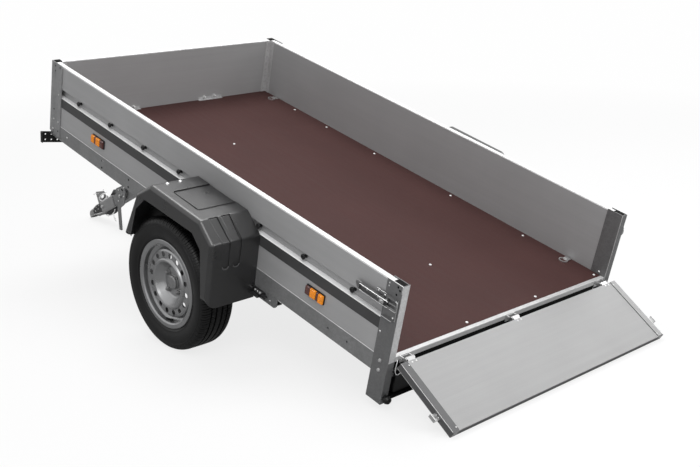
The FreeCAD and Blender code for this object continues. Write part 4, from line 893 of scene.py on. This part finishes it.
def plate_fittings():
    """Raised rim and screws of the empty number plate holder, and its two small lamps above."""
    rim, screws = Piece(bed), Piece(bed)
    outer = rounded(522, 88, 6, (0, LAMP_LEVEL))
    inner = rounded(512, 78, 4, (0, LAMP_LEVEL))
    face, raised = PLATE_FACE, PLATE_FACE - 3
    steps = ((outer, face), (outer, raised), (inner, raised), (inner, face))
    rim.loft([[(x, y, z) for x, z in outline] for outline, y in steps], closed=True)
    for x in (-PLATE_LAMPS, PLATE_LAMPS):
        rim.prism(rounded(46, 14, 4, (x, LAMP_LEVEL + 37)), 12, face, "y")
        screws.rivet((x, face, LAMP_LEVEL - 4), -AHEAD, 5)
        screws.rivet((x * 1.55, face, LAMP_LEVEL - 4), -AHEAD, 4)
    rim.make("plate_rim", "black_plastic", "edge_plastic", bevel=0.5)
    screws.make("plate_screws", "bright_zinc")


def latch_fittings():
    """Pivot pins, rivets, springs, painted highlights along the edges and the wide wire bails of the tail latches.
    """
    metal, spring = Piece(bed), Piece(bed)
    mid, level = LATCH_MIDDLE, LATCH_LEVEL
    for _ in on_sides(bed, metal, spring):
        metal.lathe((mid, LATCH_PIVOT, level - 16), UP, PIVOT_PIN)
        for y in LEVER_RIVETS:
            metal.rivet((POST_FACE + 6.4, y, level), OUT, 5)
        for y, z, radius in LATCH_RIVETS:
            metal.rivet((POST_FACE + 2.4, y, z), OUT, radius)
        path = [(66, BAIL_HIGH), (BAIL_REAR + 6, BAIL_HIGH)]
        path += arc(6, 90, 180, 4, (BAIL_REAR + 6, BAIL_HIGH - 6))
        path += arc(5, 180, 270, 4, (BAIL_REAR + 5, BAIL_LOW + 5))
        path += [(40, BAIL_LOW), (44, BAIL_LOW + 4)]
        metal.wire([(mid, y, z) for y, z in path], 1.8)
        steps = SPRING_TURNS * SPRING_STEPS
        coil = arc(SPRING_RADIUS, 0, 360 * SPRING_TURNS, steps, (mid, LATCH_PIVOT))
        spring.wire([(x, y, level - 9 + 18 * k / steps) for k, (x, y) in enumerate(coil)], 1.1, 6)
        for out, path, radius in LATCH_EDGE_HIGHLIGHTS:
            metal.wire([(POST_FACE + out, y, z) for y, z in path], radius)
        metal.prism(box(POST_FACE + 5, 60, POST_FACE + 15.5, 82), 197, 213, "z")
        metal.bolt((POST_FACE + 15.2, 71, 205), OUT, 5)
    metal.make("latch_fittings", "bright_zinc", bevel=0.3)
    spring.make("latch_springs", "black_paint", "dark_zinc")


def hinge_clips():
    """Bent wire clips on the sill under the outer hinges."""
    piece = Piece(bed)
    for _ in on_sides(bed, piece):
        piece.wire(SILL_CLIP, 1.6)
    piece.make("hinge_clips", "bright_zinc", "wire_bright")


def gate_fittings():
    """Rivets of the tailgate, and the seams and faces of its caps, the left faces painted darker as shade, and the
    caps' edges painted near white as highlights.
    """
    piece, trim, free = (Piece(gate) for _ in range(3))
    for _ in on_sides(gate, piece):
        for z in CAP_RIVETS:
            for way in (1, -1):
                piece.rivet((GATE_END - 26, way * (GATE_FACE + 0.4), z), (0, way, 0), 2.8)
        for z in STRIKER_RIVETS:
            piece.rivet((GATE_END, 0, z), OUT, 3.5)
        for x in (0.0, GATE_END - 60):
            for dx in (-10, 10):
                piece.rivet((x + dx, 12.5, 22), AHEAD, 3.5)
    piece.make("gate_rivets", "bright_zinc")
    # The left cap's faces are painted darker as shade; the right ones keep the gate's tone
    for (side, place), finish in zip(gate.sides(), ("gate_aluminium", "cap_aluminium")):
        faces, seam = Piece(place), Piece(place)
        trim.place = place
        seam.prism(box(GATE_END - 31.5, 12.4, GATE_END - 30.2, 14.15), *CAP_SPAN, "z")
        seam.make("gate_cap_seam_" + side, "black_paint", "dark_zinc")
        for way in (1, -1):
            trim.prism([(GATE_END - 1.2, way * 13.6), (GATE_END - 0.8, way * 14.5),
                        (GATE_END + 0.3, way * 14.3), (GATE_END + 0.3, way * 13.2)], *CAP_SPAN, "z")
            faces.prism(box(GATE_END - 30, way * 12.2, GATE_END - 1.4, way * 14.4), *CAP_SPAN, "z")
        faces.make("gate_cap_faces_" + side, "board_aluminium", finish)
    # Pale trims painted as highlights along the caps' edges
    trim.make("gate_edges", "board_aluminium", "painted_highlight_white")
    free.prism(FREE_EDGE, -605, 605, "x")
    free.make("gate_free_edge", "board_aluminium", "cap_aluminium")


# Drawbar. Coupling: its left plate's face, rivets as y and z, cross bolts by side, and the nose
COUPLING_PLATE = -19.0
PLATE_RIVETS = ((1030, 52), (1030, 70), (1118, 88), (1118, 52), (1134, 66), (1050, 92))
CROSS_BOLTS = {"right": (1090, 985), "left": (1090,)}
HEAD_RIVETS = (1166, 1196)
NOSE_RIVETS = ((1122, 22), (1140, 4), (1158, 20), (1178, 2), (1196, 14))
# Painted highlight along the nose plates' lower edge
NOSE_EDGE_HIGHLIGHT = ((35.6, 1108, -25), (35.6, 1160, -19.5), (33.4, 1208, -10.5))
NOSE_PLATE = (
    ((33.5, 1106, -26), (36.0, 1108, -24), (36.0, 1108, 28), (33.5, 1106, 30)),
    ((33.5, 1164, -20), (36.0, 1164, -18), (36.0, 1164, 27), (33.5, 1164, 29)),
    ((30.5, 1212, -11), (33.6, 1210, -9), (33.6, 1210, 18), (30.5, 1212, 20)))
# Painted highlight along the sleeve's upper left edge
SLEEVE_EDGE_HIGHLIGHT = ((-33.0, 958, 33.0), (-33.0, 1000, 33.0), (-33.0, 1024, 33.0), (-29, 1046, 35))
# Clamp under the sleeve, as y and drop, and the painted highlight along its lowest line
CLAMP = ((985, 6), (1000, 18), (1040, 25), (1080, 22), (1100, 8))
CLAMP_HIGHLIGHT = ((985, 8), (1000, 19), (1040, 26), (1080, 23), (1100, 9))
LOOP_TOP = (-21, 1020, -SLEEVE_HALF - 20)
# Hanging wire loop: distance down and distance back
LOOP = ((0, 5), (20, 14), (34, 24), (42, 30), (45, 27), (40, 19), (22, 7), (2, -1))
HOLDER_HOLE = (-3.0, 751, 30 + 0.62 * 62)
GROMMET = ((-3.0, 17.5), (-4.5, 16.5), (-4.5, 9.0), (4.5, 9.0), (6.0, 16.5), (4.5, 17.5))
SOCKET_BODY = ((-1.0, 13.0), (10.0, 12.0), (14.0, 9.0))
HOLDER_RIVETS = ((733, 86), (765, 88), (733, 44), (765, 44))
HOLDER_BOLTS = (-21, -9)
# Support leg: left face, rivets as y, z, and the ring round its stop hole
LEG_FACE = -46.2
LEG_RIVETS = ((-42, 52), (18, 30), (-34, 2), (26, -34))
LEG_RING = ((-0.2, 11.5), (1.2, 11.5), (1.6, 9.2), (-0.2, 9.2))


def coupling_fittings():
    """Bolts, rivets, nose lip and side plates of the coupling, its handle's rings, and painted highlights along
    the sleeve's upper edge and the nose plates' lower edges.
    """
    metal, pale, nose = (Piece(bar) for _ in range(3))
    for side in on_sides(bar, metal):
        for y in CROSS_BOLTS[side]:
            metal.bolt((SLEEVE_HALF, y, 4), OUT, 10)
    metal.place = bar
    for y, z in PLATE_RIVETS:
        metal.rivet((COUPLING_PLATE, y, z), -OUT, 4)
    pale.wire([(-27.0, 1062 + dy, 52 + 0.40 * dz) for dy, dz in arc(44, 0, 345, 23)], 3.4, closed=True)
    pale.wire(SLEEVE_EDGE_HIGHLIGHT, 2.2)
    metal.wire([(x, y, -10.5) for x, y in arc(33.6, 200, -20, 22, (0, SOCKET))], 1.7)
    pale.wire([(x, y, 95.5) for x, y in arc(15, 0, 345, 23, (-17.5, 1148))], 1.7, closed=True)
    for _ in on_sides(bar, metal, pale, nose):
        for y in HEAD_RIVETS:
            metal.rivet((30, y, 8), OUT, 5)
        for y, z in NOSE_RIVETS:
            metal.rivet((36.2 - 0.045 * max(0, y - 1164), y, z), OUT, 3.6)
        pale.wire(NOSE_EDGE_HIGHLIGHT, 1.8)
        nose.loft(NOSE_PLATE)
    pale.make("coupling_edges", "bright_zinc", "wire_bright")
    metal.make("coupling_fittings", "bright_zinc")
    nose.make("coupling_side_plates", "bright_zinc", "dark_zinc")


def sleeve_fittings():
    """Pipe clamp under the coupling's sleeve, a painted highlight along its lowest edge and the wire loop that
    hangs from it.
    """
    clamp, edge = Piece(bar), Piece(bar)
    turns = [math.radians(a) for a in range(180, 361, 15)]
    clamp.loft([[(24 * math.cos(t), y, 1 - SLEEVE_HALF - drop * abs(math.sin(t)) ** 0.7) for t in turns]
                for y, drop in CLAMP])
    clamp.make("sleeve_clamp", "bright_zinc", "dark_zinc")
    edge.wire([(-20, y, -SLEEVE_HALF - drop) for y, drop in CLAMP_HIGHLIGHT], 2.2)
    down = Vector((0, math.sin(-bar_slope), -math.cos(bar_slope)))
    back = Vector((0, -math.cos(bar_slope), -math.sin(-bar_slope)))
    top = Vector(LOOP_TOP)
    edge.wire([top] + [top + down * fall + back * out for fall, out in LOOP], 1.5)
    edge.make("coupling_wires", "bright_zinc", "wire_bright")


def holder_fittings():
    """Blank socket in the plug holder, with the holder's rivets and bolts."""
    socket, metal = Piece(bar), Piece(bar)
    socket.lathe(HOLDER_HOLE, OUT, GROMMET, 28)
    socket.lathe(HOLDER_HOLE, OUT, SOCKET_BODY, 28)
    socket.make("plug_socket", "black_rubber")
    for y, z in HOLDER_RIVETS:
        metal.rivet((-3, y, z), -OUT, 4)
    for x in HOLDER_BOLTS:
        metal.bolt((x, 748, 33), UP, 5)
    metal.make("holder_rivets", "bright_zinc")


def leg_fittings():
    """Rivets and ring on the support leg's plate."""
    piece = Piece(leg)
    for y, z in LEG_RIVETS:
        piece.rivet((LEG_FACE, y, z), -OUT, 5)
    piece.lathe((LEG_FACE, -23.4, 39), -OUT, LEG_RING, 24)
    piece.make("leg_rivets", "bright_zinc")


for name in WHEELS:
    tyre(name)
    wheel_fittings(name)
for build in (board_trim, tarp_hooks, side_markers, floor_rivets, post_fasteners, front_post_plates,
              post_lips, sill_plate, chassis_bolts, guard_stays, guard_beads, tail_lamps, plate_fittings,
              latch_fittings, hinge_clips, gate_fittings, coupling_fittings, sleeve_fittings,
              holder_fittings, leg_fittings):
    build()


# Floor, light and camera
WHITE = (1, 1, 1, 1)
FLOOR_HALF = 60.0
# Share of the floor that only glows, at NEAR and FAR metres out, and its glow in mirror images
NEAR = 2.0
FAR = 7.0
GLOW_NEAR = 0.80
GLOW_FAR = 0.99
MIRRORED_GLOW = 0.22
WORLD_COLOUR = (0.81, 0.81, 0.82, 1)
WORLD_STRENGTH = 0.5
# Camera of the photo: focal length and width in pixels, then its axes and place in the bed's frame
PHOTO_FOCAL = 1088.16
PHOTO_WIDTH = 700
SENSOR = 36.0
LOOK = (0.65299, 0.61877, -0.43673)
ACROSS = (0.73172, -0.66422, 0.15296)
RISE = (0.19544, 0.41944, 0.88650)
EYE = (-3098.3, -2033.9, 1992.0)


def studio_floor():
    """Pale floor that the camera sees near white, that keeps a soft shadow and mirrors as a mid grey."""
    mesh = bpy.data.meshes.new("studio_floor")
    corners = box(-FLOOR_HALF, -FLOOR_HALF, FLOOR_HALF, FLOOR_HALF)
    mesh.from_pydata([(x, y, 0) for x, y in corners], [], [(0, 1, 2, 3)])
    m = material("studio_floor", (0.7, 0.7, 0.7), 0.8)
    t = m.node_tree
    to_camera = node(t, "LightPath", {}).outputs["Is Camera Ray"]
    brightness = node(t, "MapRange", {"Value": to_camera, "To Min": MIRRORED_GLOW, "To Max": 1.0})
    glow = node(t, "Emission", {"Color": WHITE, "Strength": brightness.outputs["Result"]})
    place = node(t, "TexCoord", {}).outputs["Object"]
    reach = node(t, "VectorMath", {0: place}, operation="LENGTH").outputs["Value"]
    fade = node(t, "MapRange", {"Value": reach, "From Min": NEAR, "From Max": FAR,
                                "To Min": GLOW_NEAR, "To Max": GLOW_FAR})
    share = node(t, "Math", {0: seen_directly(t), 1: fade.outputs["Result"]}, operation="MULTIPLY")
    plain = t.nodes["Principled BSDF"].outputs["BSDF"]
    mix = node(t, "MixShader", {"Fac": share.outputs["Value"], 1: plain, 2: glow.outputs["Emission"]})
    t.links.new(mix.outputs["Shader"], t.nodes["Material Output"].inputs["Surface"])
    mesh.materials.append(m)
    o = add_object("studio_floor", mesh)


def seen_directly(t):
    """1 for camera, glossy and transmitted rays, else 0."""
    path = node(t, "LightPath", {}).outputs
    total = path["Is Camera Ray"]
    for other in ("Is Glossy Ray", "Is Transmission Ray"):
        both = node(t, "Math", {0: total, 1: path[other]}, operation="ADD", use_clamp=True)
        total = both.outputs["Value"]
    return total


def studio_world():
    """Even grey light from all round, and white where the world itself is seen."""
    world = bpy.data.worlds.new("studio")
    bpy.context.scene.world = world
    world.use_nodes = True
    t = world.node_tree
    t.nodes.clear()
    lit = node(t, "Background", {"Color": WORLD_COLOUR, "Strength": WORLD_STRENGTH})
    white = node(t, "Background", {"Color": WHITE, "Strength": 1.0})
    mix = node(t, "MixShader", {"Fac": seen_directly(t), 1: lit.outputs["Background"],
                                2: white.outputs["Background"]})
    node(t, "OutputWorld", {"Surface": mix.outputs["Shader"]})


def area_light(name, place, target, size, power):
    """Soft rectangular lamp that faces a point."""
    lamp = bpy.data.lights.new(name, "AREA")
    lamp.shape = "RECTANGLE"
    lamp.size, lamp.size_y = size
    lamp.energy = power
    o = add_object(name, lamp)
    o.location = place
    o.rotation_mode = "QUATERNION"
    o.rotation_quaternion = (Vector(target) - Vector(place)).to_track_quat("-Z", "Y")


def photo_camera():
    """Camera at the photograph's place."""
    camera = bpy.data.cameras.new("photo_camera")
    camera.sensor_fit = "HORIZONTAL"
    camera.sensor_width = SENSOR
    camera.lens = PHOTO_FOCAL / PHOTO_WIDTH * SENSOR
    camera.clip_start, camera.clip_end = 0.05, 200.0
    o = add_object("photo_camera", camera)
    o.matrix_world = Local("camera", bed(*EYE), bed.turn(ACROSS), bed.turn(RISE), -bed.turn(LOOK)).matrix
    bpy.context.scene.camera = o


studio_floor()
studio_world()
area_light("key_light", (-3.0, -3.5, 4.5), (0, 0, 0.4), (3.0, 3.0), 120)
area_light("top_light", (0.5, 1.0, 5.5), (0, 0, 0.4), (3.5, 3.5), 240)
area_light("rear_light", (0.8, -5.0, 2.6), (0, -1.0, 0.3), (2.5, 1.5), 70)
area_light("right_light", (4.5, -1.0, 3.0), (0, 0, 0.5), (2.5, 2.5), 60)
photo_camera()
bpy.context.scene.view_settings.view_transform = "Standard"
